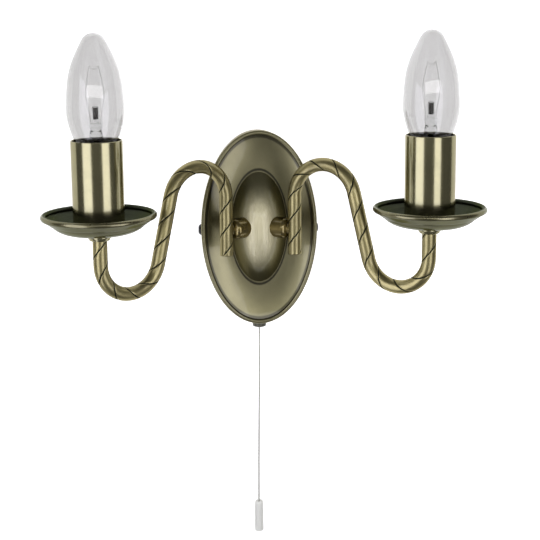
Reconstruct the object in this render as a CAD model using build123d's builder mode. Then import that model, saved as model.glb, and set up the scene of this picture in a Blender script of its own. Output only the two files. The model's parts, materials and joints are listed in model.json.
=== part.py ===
"""Two-arm candle wall light with a pull-cord switch, in antique brass.

Millimetres.  The wall is the plane y = 0 and the light stands out to -y, with
+x to the right and +z up.  The origin is the centre of the backplate on the
wall.  A "depth" here is a distance out from the wall, so depth d is y = -d.
"""
from build123d import *
import os
from math import asin, atan2, cos, degrees, hypot, pi, radians, sin, sqrt, tan

os.makedirs("parts", exist_ok=True)

# ---------------------------------------------------------------- driving sizes
# pressed backplate: skirt, rolled bead, cove and raised oval dome
plate_width = 79.0          # over the rolled bead
plate_height = 133.8
skirt_depth = 18.4          # wall to the centre of the bead
bead_radius = 1.6
bead_overhang = 1.3         # bead past the skirt
sheet = 0.9                 # brass sheet of the plate
groove_depth = 14.4         # where the cove meets the dome
dome_width = 38.0
dome_height = 76.4
dome_rise = 17.6            # groove to the front of the dome
dome_side_angle = 59.0      # tilt of the dome's sides, degrees from the wall
cove_steps = 6

# arms: bent tube, one plane each
arm_diameter = 9.0
arm_wall = 1.0
arm_angle = 35.4            # plane of the arm out from the wall, degrees
arm_reach = 96.8            # inner leg to outer leg, in the arm's plane
leg_x = 22.8                # inner leg from the middle of the plate
leg_depth = 34.0            # inner leg from the wall
leg_end = -14.8             # cut end of the inner leg
arch_top = 46.8             # centre of the tube at the top of the arch
arch_radius = 22.4
bow_bottom = -28.4          # centre of the tube at the bottom of the bow
bow_radius = 21.3

# boss between the dome and the inner leg, with its nipple and nut
boss_diameter = 14.0
boss_height = 2.1           # above the middle of the plate
boss_near = 7.1             # leg axis to the boss's outer edge
nose_diameter = 8.0
nipple_diameter = 7.0
nipple_bore = 4.6
arm_nut_flats = 10.0
arm_nut_height = 2.6
saddle_diameter = 11.0

# drip pan, collar and candle tube
rim_height = 23.8           # middle of the pan's rim
pan_diameter = 70.5
pan_sheet = 0.9
pan_drop = 10.4             # rim to the underside
pan_floor_radius = 16.5
pan_bowl_radius = 28.8      # where the bowl meets the flange
pan_flange_drop = 5.0
pan_bead_radius = 1.7
collar_diameter = 14.5
collar_height = 2.4
collar_neck_diameter = 10.8
collar_neck_height = 1.8
tube_diameter = 31.4
tube_wall = 0.8
tube_top = 70.0

# hollow nipple, nut and lampholder
stem_nipple_diameter = 10.0
stem_nipple_bore = 7.2
pan_nut_flats = 14.0
pan_nut_height = 2.5
holder_diameter = 25.5
holder_top = 56.0
holder_floor = 3.5
holder_wall = 1.8
holder_shelf = 29.0         # height of the step that carries the core
core_disc = 4.0
core_top = 52.0
screw_shell_bore = 14.1
screw_shell_wall = 0.45
contact_strip = 0.4

# candle lamp
lamp_diameter = 35.0
lamp_length = 100.0
lamp_rest = 1.1             # core's base to the foot of the screwed-in lamp
glass_wall = 0.6
cap_diameter = 13.9
cap_length = 23.0
cap_wall = 0.35
stem_top = 53.5             # glass stem's top below the tip
lead_diameter = 0.5
lead_foot = 3.2             # lead wires from the lamp's axis: foot, widest, tip
lead_spread = 5.8
lead_tip = 2.65
lead_rise = 3.0             # shoulder to the lead's first bend
lead_height = 18.0          # shoulder to the lead's widest place
filament_drop = 19.5        # tip to the filament's ends
filament_sag = 1.8
filament_diameter = 0.45

# wall bracket and its screws
bracket_sheet = 1.5
bracket_height = 14.0
bracket_ear_depth = 13.0
tongue_width = 16.0
tongue_top = 33.0
cable_hole = 10.0
fixing_spacing = 46.0
fixing_slot_width = 4.6
fixing_slot_length = 10.0
side_screw_diameter = 4.0
side_screw_length = 8.0
side_screw_head = 7.8
side_screw_head_height = 3.0
side_screw_height = -2.0
side_screw_depth = 8.0

earth_screw_head = 7.6
earth_screw_head_height = 2.4
earth_washer = 1.0

# terminal block
peg_diameter = 2.5          # moulded peg that holds the block to the bracket
block_width = 33.0
block_height = 15.0
block_depth = 10.0
block_bottom = 16.0
pole_pitch = 8.0
pole_count = 4
pole_bore = 3.4

# pull switch
switch_width = 19.0
switch_depth = 11.0
switch_centre = 7.7         # depth of the switch's axis
switch_height = 36.2        # up from the skirt's inside at the bottom
switch_wall = 2.0
switch_cover_sheet = 1.3
slider_rise = 12.7          # up from the same place
slider_height = 9.0
pull_travel = 8.0
rotor_diameter = 8.6
rotor_rise = 29.7           # and the rotor's axis
neck_diameter = 8.0
neck_length = 4.2
nozzle_diameter = 10.6
nozzle_end_diameter = 9.4
nozzle_height = 5.8
spring_wire = 0.45
spring_diameter = 4.6
spring_turns = 7

# cord and pull
cord_diameter = 1.4
pull_diameter = 5.9
pull_top_diameter = 5.5
pull_length = 22.4
pull_wall = 0.75
pull_roof = 2.5
knot_diameter = 3.0

# clearances
slip = 0.1                  # a piece that slides or passes through another
seat = 0.05                 # a piece that is pressed or screwed home
gap = 0.3                   # soft or loose pieces

# ---------------------------------------------------------------- worked out
plate_a = plate_width / 2
plate_b = plate_height / 2
skirt_a = plate_a - bead_overhang
skirt_b = plate_b - bead_overhang
dome_a = dome_width / 2
dome_b = dome_height / 2
arm_radius = arm_diameter / 2
arm_bore = arm_radius - arm_wall
wall_front = Plane.XZ       # its normal points out from the wall


def finish(part, name):
    """Label a finished piece and write it as one STEP file."""
    part.label = name
    export_step(part, f"parts/{name}.step")


def dome_solid(half_width, half_height, rise, foot):
    """Raised oval: straight sides that turn into a round front, on a foot."""
    angle = radians(dome_side_angle)
    ball = (half_width - rise / tan(angle)) / tan(angle / 2)
    shoulder = (ball * sin(angle), rise - ball * (1 - cos(angle)))
    middle = (ball * sin(angle / 2), rise - ball * (1 - cos(angle / 2)))
    with BuildPart() as dome:
        with BuildSketch(Plane.XY):
            with BuildLine():
                Polyline((0, foot), (half_width, foot), (half_width, 0), shoulder)
                ThreePointArc(shoulder, middle, (0, rise))
                Line((0, rise), (0, foot))
            make_face()
        revolve(axis=Axis.Y)
    long = scale(dome.part, by=(1, 1, half_height / half_width))
    return Pos(0, -groove_depth, 0) * mirror(long, about=Plane.XZ)


def cove_rings(grow, shift):
    """Ovals of the cove from the bead in to the groove: steep, then level."""
    start_a = plate_a - 2 * bead_radius + sheet / 3
    start_b = plate_b - 2 * bead_radius + sheet / 3
    rings = []
    for step in range(cove_steps + 1):
        inward = step / cove_steps
        half_width = start_a + (dome_a - start_a) * inward + grow
        half_height = start_b + (dome_b - start_b) * inward + grow
        fall = (skirt_depth - groove_depth) * (1 - inward) ** 2
        rings.append((half_width, half_height, groove_depth + fall + shift))
    return rings


# ---------------------------------------------------------------- arm frames
def arm_plane(side):
    """Plane of an arm: x runs out along the arm, y is up, from the inner leg."""
    out = Vector(side * cos(radians(arm_angle)), -sin(radians(arm_angle)), 0)
    return Plane(
        origin=(side * leg_x, -leg_depth, 0),
        x_dir=out,
        z_dir=(out.Y, -out.X, 0),
    )


def boss_plane(side):
    """Plane square to the boss, at the leg's axis, facing the backplate."""
    arm = arm_plane(side)
    return Plane(
        origin=arm.from_local_coords((0, boss_height, 0)),
        x_dir=(0, 0, 1),
        z_dir=arm.x_dir * -1,
    )


def lamp_plane(side, height):
    """Level plane on the axis of a lamp."""
    foot = arm_plane(side).from_local_coords((arm_reach, 0, 0))
    return Plane(origin=(foot.X, foot.Y, height), x_dir=(1, 0, 0), z_dir=(0, 0, 1))


def lamp_profile(side):
    """Upright plane through a lamp's axis: x is the radius and y the height."""
    foot = arm_plane(side).from_local_coords((arm_reach, 0, 0))
    return Plane(origin=(foot.X, foot.Y, 0), x_dir=(1, 0, 0), z_dir=(0, -1, 0))


def lamp_axis(side):
    return Axis(lamp_profile(side).origin, (0, 0, 1))


# the middle leg is tangent to the arch and to the bow
arch_centre = Vector(arch_radius, arch_top - arch_radius)
bow_centre = Vector(arm_reach - bow_radius, bow_bottom + bow_radius)
span = bow_centre - arch_centre
span_length = hypot(span.X, span.Y)
crossing = degrees(asin((arch_radius + bow_radius) / span_length))
middle_heading = degrees(atan2(span.Y, span.X)) - crossing
middle_length = sqrt(span_length**2 - (arch_radius + bow_radius) ** 2)
arch_turn = 90 - middle_heading

pan_under = rim_height - pan_drop
pan_floor = pan_under + pan_sheet
arm_end = pan_under - collar_height
collar_bottom = arm_end - collar_neck_height
holder_bottom = pan_floor + pan_nut_height


def arm_route(start):
    """Centreline of an arm, in its plane, from a height on the inner leg."""
    up = Line((0, start), (0, arch_centre.Y))
    over = JernArc(up @ 1, (0, 1), arch_radius, -arch_turn)
    down = PolarLine(over @ 1, middle_length, middle_heading)
    under = JernArc(down @ 1, down % 1, bow_radius, arch_turn)
    Line(under @ 1, (arm_reach, arm_end))


# ---------------------------------------------------------------- backplate
dome_outer = dome_solid(dome_a, dome_b, dome_rise, -sheet / 2)
dome_inner = dome_solid(dome_a - sheet, dome_b - sheet, dome_rise - sheet, -2 * sheet)

with BuildPart() as cove_back:
    for half_width, half_height, depth in cove_rings(sheet / 2, -sheet):
        with BuildSketch(wall_front.offset(depth)):
            Ellipse(half_width, half_height)
    loft()

with BuildPart() as plate_hollow:
    with BuildSketch(wall_front.offset(-sheet)):
        Ellipse(skirt_a - sheet, skirt_b - sheet)
    extrude(amount=skirt_depth - bead_radius)
    add(cove_back.part, mode=Mode.SUBTRACT)
    add(dome_inner)

with BuildPart() as bead:
    with BuildLine(wall_front.offset(skirt_depth)):
        EllipticalCenterArc(
            (0, 0), plate_a - bead_radius, plate_b - bead_radius, start_angle=-90, arc_size=180
        )
    bead_start = (0, -skirt_depth, bead_radius - plate_b)
    with BuildSketch(Plane(origin=bead_start, x_dir=(0, 0, 1), z_dir=(1, 0, 0))):
        Circle(bead_radius)
    sweep()
    mirror(about=Plane.YZ)

with BuildPart() as backplate:
    with BuildSketch(wall_front):
        Ellipse(skirt_a, skirt_b)
    extrude(amount=skirt_depth)
    for half_width, half_height, depth in cove_rings(0, 0):
        with BuildSketch(wall_front.offset(depth)):
            Ellipse(half_width, half_height)
    loft(mode=Mode.SUBTRACT)
    add(bead.part)
    add(dome_outer)
    add(plate_hollow.part, mode=Mode.SUBTRACT)
    # holes for the arm nipples, the switch's neck and the two side screws
    for side in (-1, 1):
        with BuildSketch(boss_plane(side).offset(boss_near)):
            Circle(nipple_diameter / 2 + slip)
        extrude(amount=leg_x / 2, mode=Mode.SUBTRACT)
    with BuildSketch(Plane(origin=(0, -switch_centre, 0), z_dir=(0, 0, -1)).offset(skirt_b / 2)):
        Circle(neck_diameter / 2 + slip)
    extrude(amount=skirt_b / 2 + sheet, mode=Mode.SUBTRACT)
    with BuildSketch(Plane.YZ.offset(-skirt_a - sheet)):
        with Locations((-side_screw_depth, side_screw_height)):
            Circle(side_screw_diameter / 2 + slip)
    extrude(amount=2 * (skirt_a + sheet), mode=Mode.SUBTRACT)
finish(backplate.part, "backplate")

# ---------------------------------------------------------------- wall bracket
inner_a = skirt_a - sheet
inner_b = skirt_b - sheet
ear_reach = bracket_height / 2 - side_screw_height
ear_x = inner_a * sqrt(1 - (ear_reach / inner_b) ** 2) - gap
bar_frame = Plane(origin=(0, 0, side_screw_height), x_dir=(1, 0, 0), z_dir=(0, -1, 0))
earth_x = (cable_hole + fixing_spacing - fixing_slot_length) / 4
tongue_height = tongue_top - side_screw_height
block_middle = block_bottom + block_height / 2

with BuildPart() as wall_bracket:
    with BuildSketch(bar_frame):
        Rectangle(2 * ear_x, bracket_height)
        with Locations((0, tongue_height / 2)):
            Rectangle(tongue_width, tongue_height)
        Circle(cable_hole / 2, mode=Mode.SUBTRACT)
        with Locations((-fixing_spacing / 2, 0), (fixing_spacing / 2, 0)):
            SlotOverall(fixing_slot_length, fixing_slot_width, mode=Mode.SUBTRACT)
        with Locations((earth_x, 0)):
            Circle(side_screw_diameter / 2 + seat, mode=Mode.SUBTRACT)
        with Locations((0, block_middle - side_screw_height)):
            Circle(peg_diameter / 2 + seat, mode=Mode.SUBTRACT)
    extrude(amount=bracket_sheet)
    with BuildSketch(bar_frame):
        with Locations((bracket_sheet / 2 - ear_x, 0), (ear_x - bracket_sheet / 2, 0)):
            Rectangle(bracket_sheet, bracket_height)
    extrude(amount=bracket_ear_depth)
    bends = wall_bracket.edges().filter_by(Axis.Z).filter_by_position(Axis.Y, -slip, slip)
    fillet([bends.sort_by(Axis.X)[0], bends.sort_by(Axis.X)[-1]], bracket_sheet * 0.8)
    with BuildSketch(Plane.YZ.offset(-inner_a)):
        with Locations((-side_screw_depth, side_screw_height)):
            Circle(side_screw_diameter / 2 + seat)
    extrude(amount=2 * inner_a, mode=Mode.SUBTRACT)
finish(wall_bracket.part, "wall_bracket")

# domed screws with a cross slot, through the skirt into the bracket's ears
head_radius = side_screw_head / 2
with BuildPart() as side_screws:
    for side in (-1, 1):
        frame = Plane(
            origin=(side * (skirt_a + slip), -side_screw_depth, side_screw_height),
            x_dir=(0, 1, 0),
            z_dir=(side, 0, 0),
        )
        with BuildSketch(frame):
            Circle(head_radius)
        extrude(amount=side_screw_head_height)
        rim = side_screws.faces().filter_by(Axis.X).sort_by(Axis.X)
        fillet((rim[-1] if side > 0 else rim[0]).edges(), side_screw_head_height * 0.8)
        with BuildSketch(frame.offset(side_screw_head_height)):
            Rectangle(head_radius, head_radius / 4)
            Rectangle(head_radius / 4, head_radius)
        extrude(amount=-side_screw_head_height / 2, mode=Mode.SUBTRACT)
        with BuildSketch(frame):
            Circle(side_screw_diameter / 2)
        extrude(amount=-side_screw_length)
finish(side_screws.part, "side_screws")

with BuildPart() as earth_terminal:
    with BuildSketch(bar_frame):
        with Locations((earth_x, 0)):
            Circle(side_screw_diameter / 2)
    extrude(amount=bracket_sheet + 2 * earth_washer)
    with BuildSketch(bar_frame.offset(bracket_sheet + earth_washer)):
        with Locations((earth_x, 0)):
            Circle(earth_screw_head / 2)
    extrude(amount=earth_screw_head_height)
    chamfer(earth_terminal.faces().sort_by(Axis.Y)[0].edges(), slip)
    with BuildSketch(bar_frame.offset(bracket_sheet)):
        with Locations((earth_x, 0)):
            Rectangle(earth_screw_head, earth_screw_head)
    extrude(amount=earth_washer)
finish(earth_terminal.part, "earth_terminal")

# ---------------------------------------------------------------- terminal block
pole_xs = [(index - (pole_count - 1) / 2) * pole_pitch for index in range(pole_count)]
pole_depth = bracket_sheet + block_depth / 2
insert_radius = pole_bore / 2 + 0.9
clamp_radius = 1.3
clamp_heights = (block_bottom + block_height / 4, block_bottom + block_height * 3 / 4)

with BuildPart() as terminal_block:
    with BuildSketch(Plane.XZ.offset(bracket_sheet)):
        with Locations((0, block_middle)):
            RectangleRounded(block_width, block_height, 1.5)
    extrude(amount=block_depth)
    with BuildSketch(Plane.XZ.offset(seat)):
        with Locations((0, block_middle)):
            Circle(peg_diameter / 2)
    extrude(amount=bracket_sheet)
    with BuildSketch(Plane.XY.offset(block_bottom)):
        with Locations(*[(x, -pole_depth) for x in pole_xs]):
            Circle(insert_radius + seat)
    extrude(amount=block_height, mode=Mode.SUBTRACT)
    with BuildSketch(Plane.XZ.offset(pole_depth)):
        with Locations(*[(x, z) for x in pole_xs for z in clamp_heights]):
            Circle(clamp_radius + 2 * slip)
    extrude(amount=block_depth, mode=Mode.SUBTRACT)
finish(terminal_block.part, "terminal_block")

with BuildPart() as terminal_inserts:
    with BuildSketch(Plane.XY.offset(block_bottom + slip)):
        with Locations(*[(x, -pole_depth) for x in pole_xs]):
            Circle(insert_radius)
            Circle(pole_bore / 2, mode=Mode.SUBTRACT)
    extrude(amount=block_height - 2 * slip)
    with BuildSketch(Plane.XZ.offset(pole_depth)):
        with Locations(*[(x, z) for x in pole_xs for z in clamp_heights]):
            Circle(clamp_radius + seat)
    extrude(amount=block_depth, mode=Mode.SUBTRACT)
finish(terminal_inserts.part, "terminal_inserts")

with BuildPart() as clamp_screws:
    with BuildSketch(Plane.XZ.offset(pole_depth + pole_bore / 2)):
        with Locations(*[(x, z) for x in pole_xs for z in clamp_heights]):
            Circle(clamp_radius)
            Rectangle(2 * clamp_radius, clamp_radius / 3, mode=Mode.SUBTRACT)
    extrude(amount=block_depth / 2 - pole_bore / 2 - slip)
    with BuildSketch(Plane.XZ.offset(pole_depth + pole_bore / 2)):
        with Locations(*[(x, z) for x in pole_xs for z in clamp_heights]):
            Circle(clamp_radius)
    extrude(amount=clamp_radius)
finish(clamp_screws.part, "clamp_screws")

# ---------------------------------------------------------------- arms and bosses
sides = (("left", -1), ("right", 1))
boss_radius = boss_diameter / 2
nipple_radius = nipple_diameter / 2
nipple_start = arm_bore - 0.4
nut_seat = boss_near + boss_radius + 3.0
nipple_end = nut_seat + arm_nut_height + 0.6
flex_radius = 1.4
flex_bend = 3.0
flex_turn = nipple_end + 4.5
flex_corner = 4.0
flex_drop = 10.0
flex_entry = 3.0

for name, side in sides:
    plane = arm_plane(side)
    with BuildPart() as arm:
        with BuildLine(plane):
            arm_route(leg_end)
        with BuildSketch(Plane(origin=plane.from_local_coords((0, leg_end, 0)), z_dir=(0, 0, 1))):
            Circle(arm_radius)
            Circle(arm_bore, mode=Mode.SUBTRACT)
        sweep()
        with BuildSketch(boss_plane(side)):
            Circle(nipple_radius + seat)
        extrude(amount=arm_diameter, mode=Mode.SUBTRACT)
    finish(arm.part, f"{name}_arm")

    # boss: a short drum with a rounded nose on the leg, cut to sit on the dome
    with BuildPart() as leg_space:
        with BuildSketch(Plane(origin=plane.origin, z_dir=(0, 0, 1))):
            Circle(arm_radius + seat)
        extrude(amount=arm_diameter + boss_height, both=True)
    nose_radius = nose_diameter / 2
    with BuildPart() as boss:
        with BuildSketch(plane):
            with BuildLine():
                Line((0, boss_height), (0, boss_height + nose_radius))
                Line((0, boss_height + nose_radius), (-arm_radius, boss_height + nose_radius))
                ThreePointArc(
                    (-arm_radius, boss_height + nose_radius),
                    (-arm_radius - (boss_near - arm_radius) * 0.4, boss_height + boss_radius * 0.86),
                    (-boss_near, boss_height + boss_radius),
                )
                Line((-boss_near, boss_height + boss_radius), (-nut_seat, boss_height + boss_radius))
                Line((-nut_seat, boss_height + boss_radius), (-nut_seat, boss_height))
                Line((-nut_seat, boss_height), (0, boss_height))
            make_face()
        revolve(axis=Axis(plane.from_local_coords((0, boss_height, 0)), plane.x_dir))
        add(leg_space.part, mode=Mode.SUBTRACT)
        add(dome_outer, mode=Mode.SUBTRACT)
        with BuildSketch(boss_plane(side)):
            Circle(nipple_radius + seat)
        extrude(amount=2 * nut_seat, mode=Mode.SUBTRACT)
        keep = boss.solids().sort_by_distance(plane.origin)[0]
    finish(keep, f"{name}_boss")

    # two-core flex from the lampholder down the arm to the terminal block
    with BuildPart() as flex:
        pole = Vector(side * pole_xs[-1], -pole_depth, block_bottom)
        turn = plane.from_local_coords((-flex_turn, boss_height, 0))
        into_leg = plane.from_local_coords((-flex_bend, boss_height, 0))
        with BuildLine():
            FilletPolyline(
                pole + (0, 0, flex_entry),
                pole + (0, 0, flex_entry - flex_drop),
                turn,
                into_leg,
                radius=[flex_corner, flex_corner],
            )
        with BuildLine(plane):
            elbow = JernArc(into_leg, (1, 0), flex_bend, 90)
            up = Line(elbow @ 1, (0, arch_centre.Y))
            over = JernArc(up @ 1, (0, 1), arch_radius, -arch_turn)
            down = PolarLine(over @ 1, middle_length, middle_heading)
            under = JernArc(down @ 1, down % 1, bow_radius, arch_turn)
            Line(under @ 1, (arm_reach, holder_bottom + holder_floor + flex_entry))
        with BuildSketch(Plane(origin=pole + (0, 0, flex_entry), z_dir=(0, 0, -1))):
            Circle(flex_radius)
        sweep()
    finish(flex.part, f"{name}_arm_flex")

with BuildPart() as arm_nipples:
    for _, side in sides:
        with BuildSketch(boss_plane(side).offset(nipple_start)):
            Circle(nipple_radius)
            Circle(nipple_bore / 2, mode=Mode.SUBTRACT)
        extrude(amount=nipple_end - nipple_start)
finish(arm_nipples.part, "arm_nipples")

# washers shaped to the inside of the dome, with a flat face for the nut
with BuildPart() as arm_washers:
    for _, side in sides:
        with BuildSketch(boss_plane(side).offset(boss_near)):
            Circle(saddle_diameter / 2)
            Circle(nipple_radius + slip, mode=Mode.SUBTRACT)
        extrude(amount=nut_seat - boss_near)
    add(dome_inner, mode=Mode.INTERSECT)
finish(arm_washers.part, "arm_washers")

with BuildPart() as arm_nuts:
    for _, side in sides:
        with BuildSketch(boss_plane(side).offset(nut_seat)):
            RegularPolygon(arm_nut_flats / 2, 6, major_radius=False)
            Circle(nipple_radius + seat, mode=Mode.SUBTRACT)
        extrude(amount=arm_nut_height)
finish(arm_nuts.part, "arm_nuts")

# ---------------------------------------------------------------- pans and collars
stem_bore = stem_nipple_bore / 2
stem_radius = stem_nipple_diameter / 2
tube_radius = tube_diameter / 2
bowl_run = pan_bowl_radius - pan_floor_radius
bowl_rise = pan_drop - pan_flange_drop
bowl_curve = (bowl_run**2 + bowl_rise**2) / (2 * bowl_rise)
pan_radius = pan_diameter / 2
bead_centre = pan_radius - pan_bead_radius
bowl_sweep = asin(bowl_run / bowl_curve)


def bowl_point(share, inset):
    """Point on the bowl's round side, from the floor to the flange."""
    angle = bowl_sweep * share
    radius = bowl_curve - inset
    return (
        pan_floor_radius + radius * sin(angle),
        pan_under + bowl_curve - radius * cos(angle),
    )


for name, side in sides:
    upright = lamp_profile(side)
    axis = lamp_axis(side)
    with BuildPart() as collar:
        with BuildSketch(lamp_plane(side, collar_bottom)):
            Circle(collar_neck_diameter / 2)
        extrude(amount=collar_neck_height)
        fillet(collar.edges().group_by(Axis.Z)[0], collar_neck_height / 4)
        with BuildSketch(lamp_plane(side, arm_end)):
            Circle(collar_diameter / 2)
        extrude(amount=collar_height)
        steps = collar.edges().filter_by(GeomType.CIRCLE)
        fillet(steps.filter_by(lambda edge: edge.radius > collar_neck_diameter / 2 + seat), collar_height / 4)
        with BuildSketch(lamp_plane(side, collar_bottom)):
            Circle(arm_radius + seat)
        extrude(amount=collar_neck_height, mode=Mode.SUBTRACT)
        with BuildSketch(lamp_plane(side, arm_end)):
            Circle(stem_radius + seat)
        extrude(amount=collar_height, mode=Mode.SUBTRACT)
    finish(collar.part, f"{name}_collar")

    with BuildPart() as pan:
        with BuildSketch(upright):
            with BuildLine():
                hole = stem_radius + 2 * slip
                flange = (bead_centre, rim_height - pan_bead_radius)
                outer_end = bowl_point(1, 0)
                inner_end = bowl_point(1, pan_sheet)
                Polyline(bowl_point(0, pan_sheet), (hole, pan_floor), (hole, pan_under), bowl_point(0, 0))
                ThreePointArc(bowl_point(0, 0), bowl_point(0.5, 0), outer_end)
                Polyline(
                    outer_end,
                    (outer_end[0] + pan_sheet, outer_end[1] + pan_sheet / 2),
                    flange,
                    (bead_centre, rim_height),
                    (inner_end[0] + pan_sheet, inner_end[1] + pan_sheet),
                    inner_end,
                )
                ThreePointArc(inner_end, bowl_point(0.5, pan_sheet), bowl_point(0, pan_sheet))
            make_face()
            with Locations((bead_centre, rim_height)):
                Circle(pan_bead_radius)
        revolve(axis=axis)
    finish(pan.part, f"{name}_pan")

    with BuildPart() as candle_tube:
        with BuildSketch(lamp_plane(side, pan_floor)):
            Circle(tube_radius)
            Circle(tube_radius - tube_wall, mode=Mode.SUBTRACT)
        extrude(amount=tube_top - pan_floor)
        fillet(candle_tube.edges().group_by(Axis.Z)[-1], tube_wall * 0.4)
    finish(candle_tube.part, f"{name}_candle_tube")

with BuildPart() as stem_nipples:
    for _, side in sides:
        with BuildSketch(lamp_plane(side, arm_end + seat)):
            Circle(stem_radius)
            Circle(stem_bore, mode=Mode.SUBTRACT)
        extrude(amount=holder_bottom + holder_floor - arm_end - seat)
finish(stem_nipples.part, "stem_nipples")

with BuildPart() as pan_nuts:
    for _, side in sides:
        with BuildSketch(lamp_plane(side, pan_floor)):
            RegularPolygon(pan_nut_flats / 2, 6, major_radius=False)
            Circle(stem_radius + seat, mode=Mode.SUBTRACT)
        extrude(amount=pan_nut_height)
finish(pan_nuts.part, "pan_nuts")

# ---------------------------------------------------------------- lampholders
holder_radius = holder_diameter / 2
holder_bore = holder_radius - holder_wall
floor_top = holder_bottom + holder_floor
foot_radius = tube_radius - tube_wall - 2 * slip
shelf_bore = holder_bore - 1.2
core_base = holder_shelf + core_disc
shell_radius = screw_shell_bore / 2
shell_outer = shell_radius + screw_shell_wall
core_bore = shell_outer + slip
shell_flange = 1.6
rivet_radius = 1.1
strip_rivet = shell_radius - rivet_radius - 3 * slip
shell_rivet = (shell_radius + shell_flange + core_bore) / 2
lamp_foot = core_base + lamp_rest
lamp_top = lamp_foot + lamp_length
strip_top = lamp_foot - slip

for name, side in sides:
    upright = lamp_profile(side)
    axis = lamp_axis(side)
    with BuildPart() as holder:
        with BuildSketch(upright):
            with BuildLine():
                Polyline(
                    (stem_radius + seat, holder_bottom),
                    (foot_radius, holder_bottom),
                    (foot_radius, holder_bottom + 2 * holder_wall),
                    (holder_radius, holder_bottom + 2 * holder_wall),
                    (holder_radius, holder_top),
                    (holder_bore, holder_top),
                    (holder_bore, holder_shelf),
                    (shelf_bore, holder_shelf),
                    (shelf_bore, floor_top),
                    (stem_radius + seat, floor_top),
                    close=True,
                )
            make_face()
        revolve(axis=axis)
    finish(holder.part, f"{name}_lampholder")

    with BuildPart() as core:
        with BuildSketch(lamp_plane(side, holder_shelf)):
            Circle(holder_bore - slip)
            with Locations((-strip_rivet, 0), (shell_rivet, 0)):
                Circle(rivet_radius + seat, mode=Mode.SUBTRACT)
        extrude(amount=core_disc)
        with BuildSketch(lamp_plane(side, core_base)):
            Circle(holder_bore - slip)
            Circle(core_bore + shell_flange, mode=Mode.SUBTRACT)
        extrude(amount=core_top - core_base)
    finish(core.part, f"{name}_lampholder_core")

    with BuildPart() as shell:
        with BuildSketch(upright):
            with BuildLine():
                Polyline(
                    (shell_radius, core_base),
                    (core_bore + shell_flange - slip, core_base),
                    (core_bore + shell_flange - slip, core_base + screw_shell_wall),
                    (shell_outer, core_base + screw_shell_wall),
                    (shell_outer, core_top - screw_shell_wall),
                    (core_bore + shell_flange - slip, core_top - screw_shell_wall),
                    (core_bore + shell_flange - slip, core_top),
                    (shell_radius, core_top),
                    close=True,
                )
            make_face()
        revolve(axis=axis)
        with BuildSketch(lamp_plane(side, core_base)):
            with Locations((shell_rivet, 0)):
                Circle(rivet_radius - slip)
        extrude(amount=-core_disc)
    finish(shell.part, f"{name}_screw_shell")

    with BuildPart() as strip:
        with BuildSketch(upright):
            with BuildLine():
                Polyline(
                    (-strip_rivet - rivet_radius, core_base),
                    (-strip_rivet + rivet_radius, core_base),
                    (-rivet_radius, strip_top - contact_strip),
                    (2 * rivet_radius, strip_top - contact_strip),
                    (2 * rivet_radius, strip_top),
                    (-rivet_radius - contact_strip / 2, strip_top),
                    (-strip_rivet + rivet_radius - contact_strip / 2, core_base + contact_strip),
                    (-strip_rivet - rivet_radius, core_base + contact_strip),
                    close=True,
                )
            make_face()
        extrude(amount=2 * rivet_radius, both=True)
        with BuildSketch(lamp_plane(side, core_base)):
            with Locations((-strip_rivet, 0)):
                Circle(rivet_radius)
        extrude(amount=-core_disc)
    finish(strip.part, f"{name}_centre_contact")

# clamping blocks under each core, one on each rivet, with a screw in each
clamp_block = 4.0
with BuildPart() as holder_terminals:
    for _, side in sides:
        with BuildSketch(lamp_plane(side, holder_shelf)):
            with Locations((-strip_rivet, 0), (shell_rivet - clamp_block / 4, 0)):
                Rectangle(clamp_block, clamp_block)
        extrude(amount=-clamp_block)
        with BuildSketch(lamp_plane(side, holder_shelf - clamp_block / 2).rotated((90, 0, 0))):
            with Locations((-strip_rivet, 0), (shell_rivet - clamp_block / 4, 0)):
                Circle(clamp_block / 4 + seat)
        extrude(amount=clamp_block, both=True, mode=Mode.SUBTRACT)
finish(holder_terminals.part, "holder_terminals")

with BuildPart() as holder_screws:
    for _, side in sides:
        with BuildSketch(lamp_plane(side, holder_shelf - clamp_block / 2).rotated((90, 0, 0))):
            with Locations((-strip_rivet, 0), (shell_rivet - clamp_block / 4, 0)):
                Circle(clamp_block / 4)
        extrude(amount=clamp_block / 2, both=True)
finish(holder_screws.part, "holder_screws")

# ---------------------------------------------------------------- candle lamps
lamp_radius = lamp_diameter / 2
cap_radius = cap_diameter / 2
cap_top = lamp_foot + cap_length
cap_bottom = lamp_foot + 2.5
neck_radius = cap_radius - cap_wall - 0.3
neck_bottom = cap_top - 3.0
# shares of the way down from the tip to the cap, and of the full radius
lamp_outline = [
    (0.0532, 0.397),
    (0.1948, 0.706),
    (0.3844, 0.934),
    (0.5714, 1.0),
    (0.7143, 0.934),
    (0.8091, 0.800),
    (0.9026, 0.555),
]
thread_pitch = 2.82
thread_ridges = 5


def glass_arcs(inset):
    """Chain of tangent arcs down the glass from tip to neck, moved in by inset."""
    bulb_height = lamp_top - cap_top
    outline = [(lamp_radius * out, lamp_top - bulb_height * down) for down, out in lamp_outline]
    here = (0.0, lamp_top)
    heading = 0.0
    chain = []
    for there in outline + [(neck_radius, neck_bottom)]:
        chain.append((here[0] - inset * sin(heading), here[1] - inset * cos(heading), heading))
        heading = 2 * atan2(here[1] - there[1], there[0] - here[0]) - heading
        here = there
    chain.append((here[0] - inset * sin(heading), here[1] - inset * cos(heading), heading))
    for start, end in zip(chain, chain[1:]):
        TangentArc(start[:2], end[:2], tangent=(cos(start[2]), -sin(start[2])))
    return chain[0][:2], chain[-1][:2]


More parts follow.
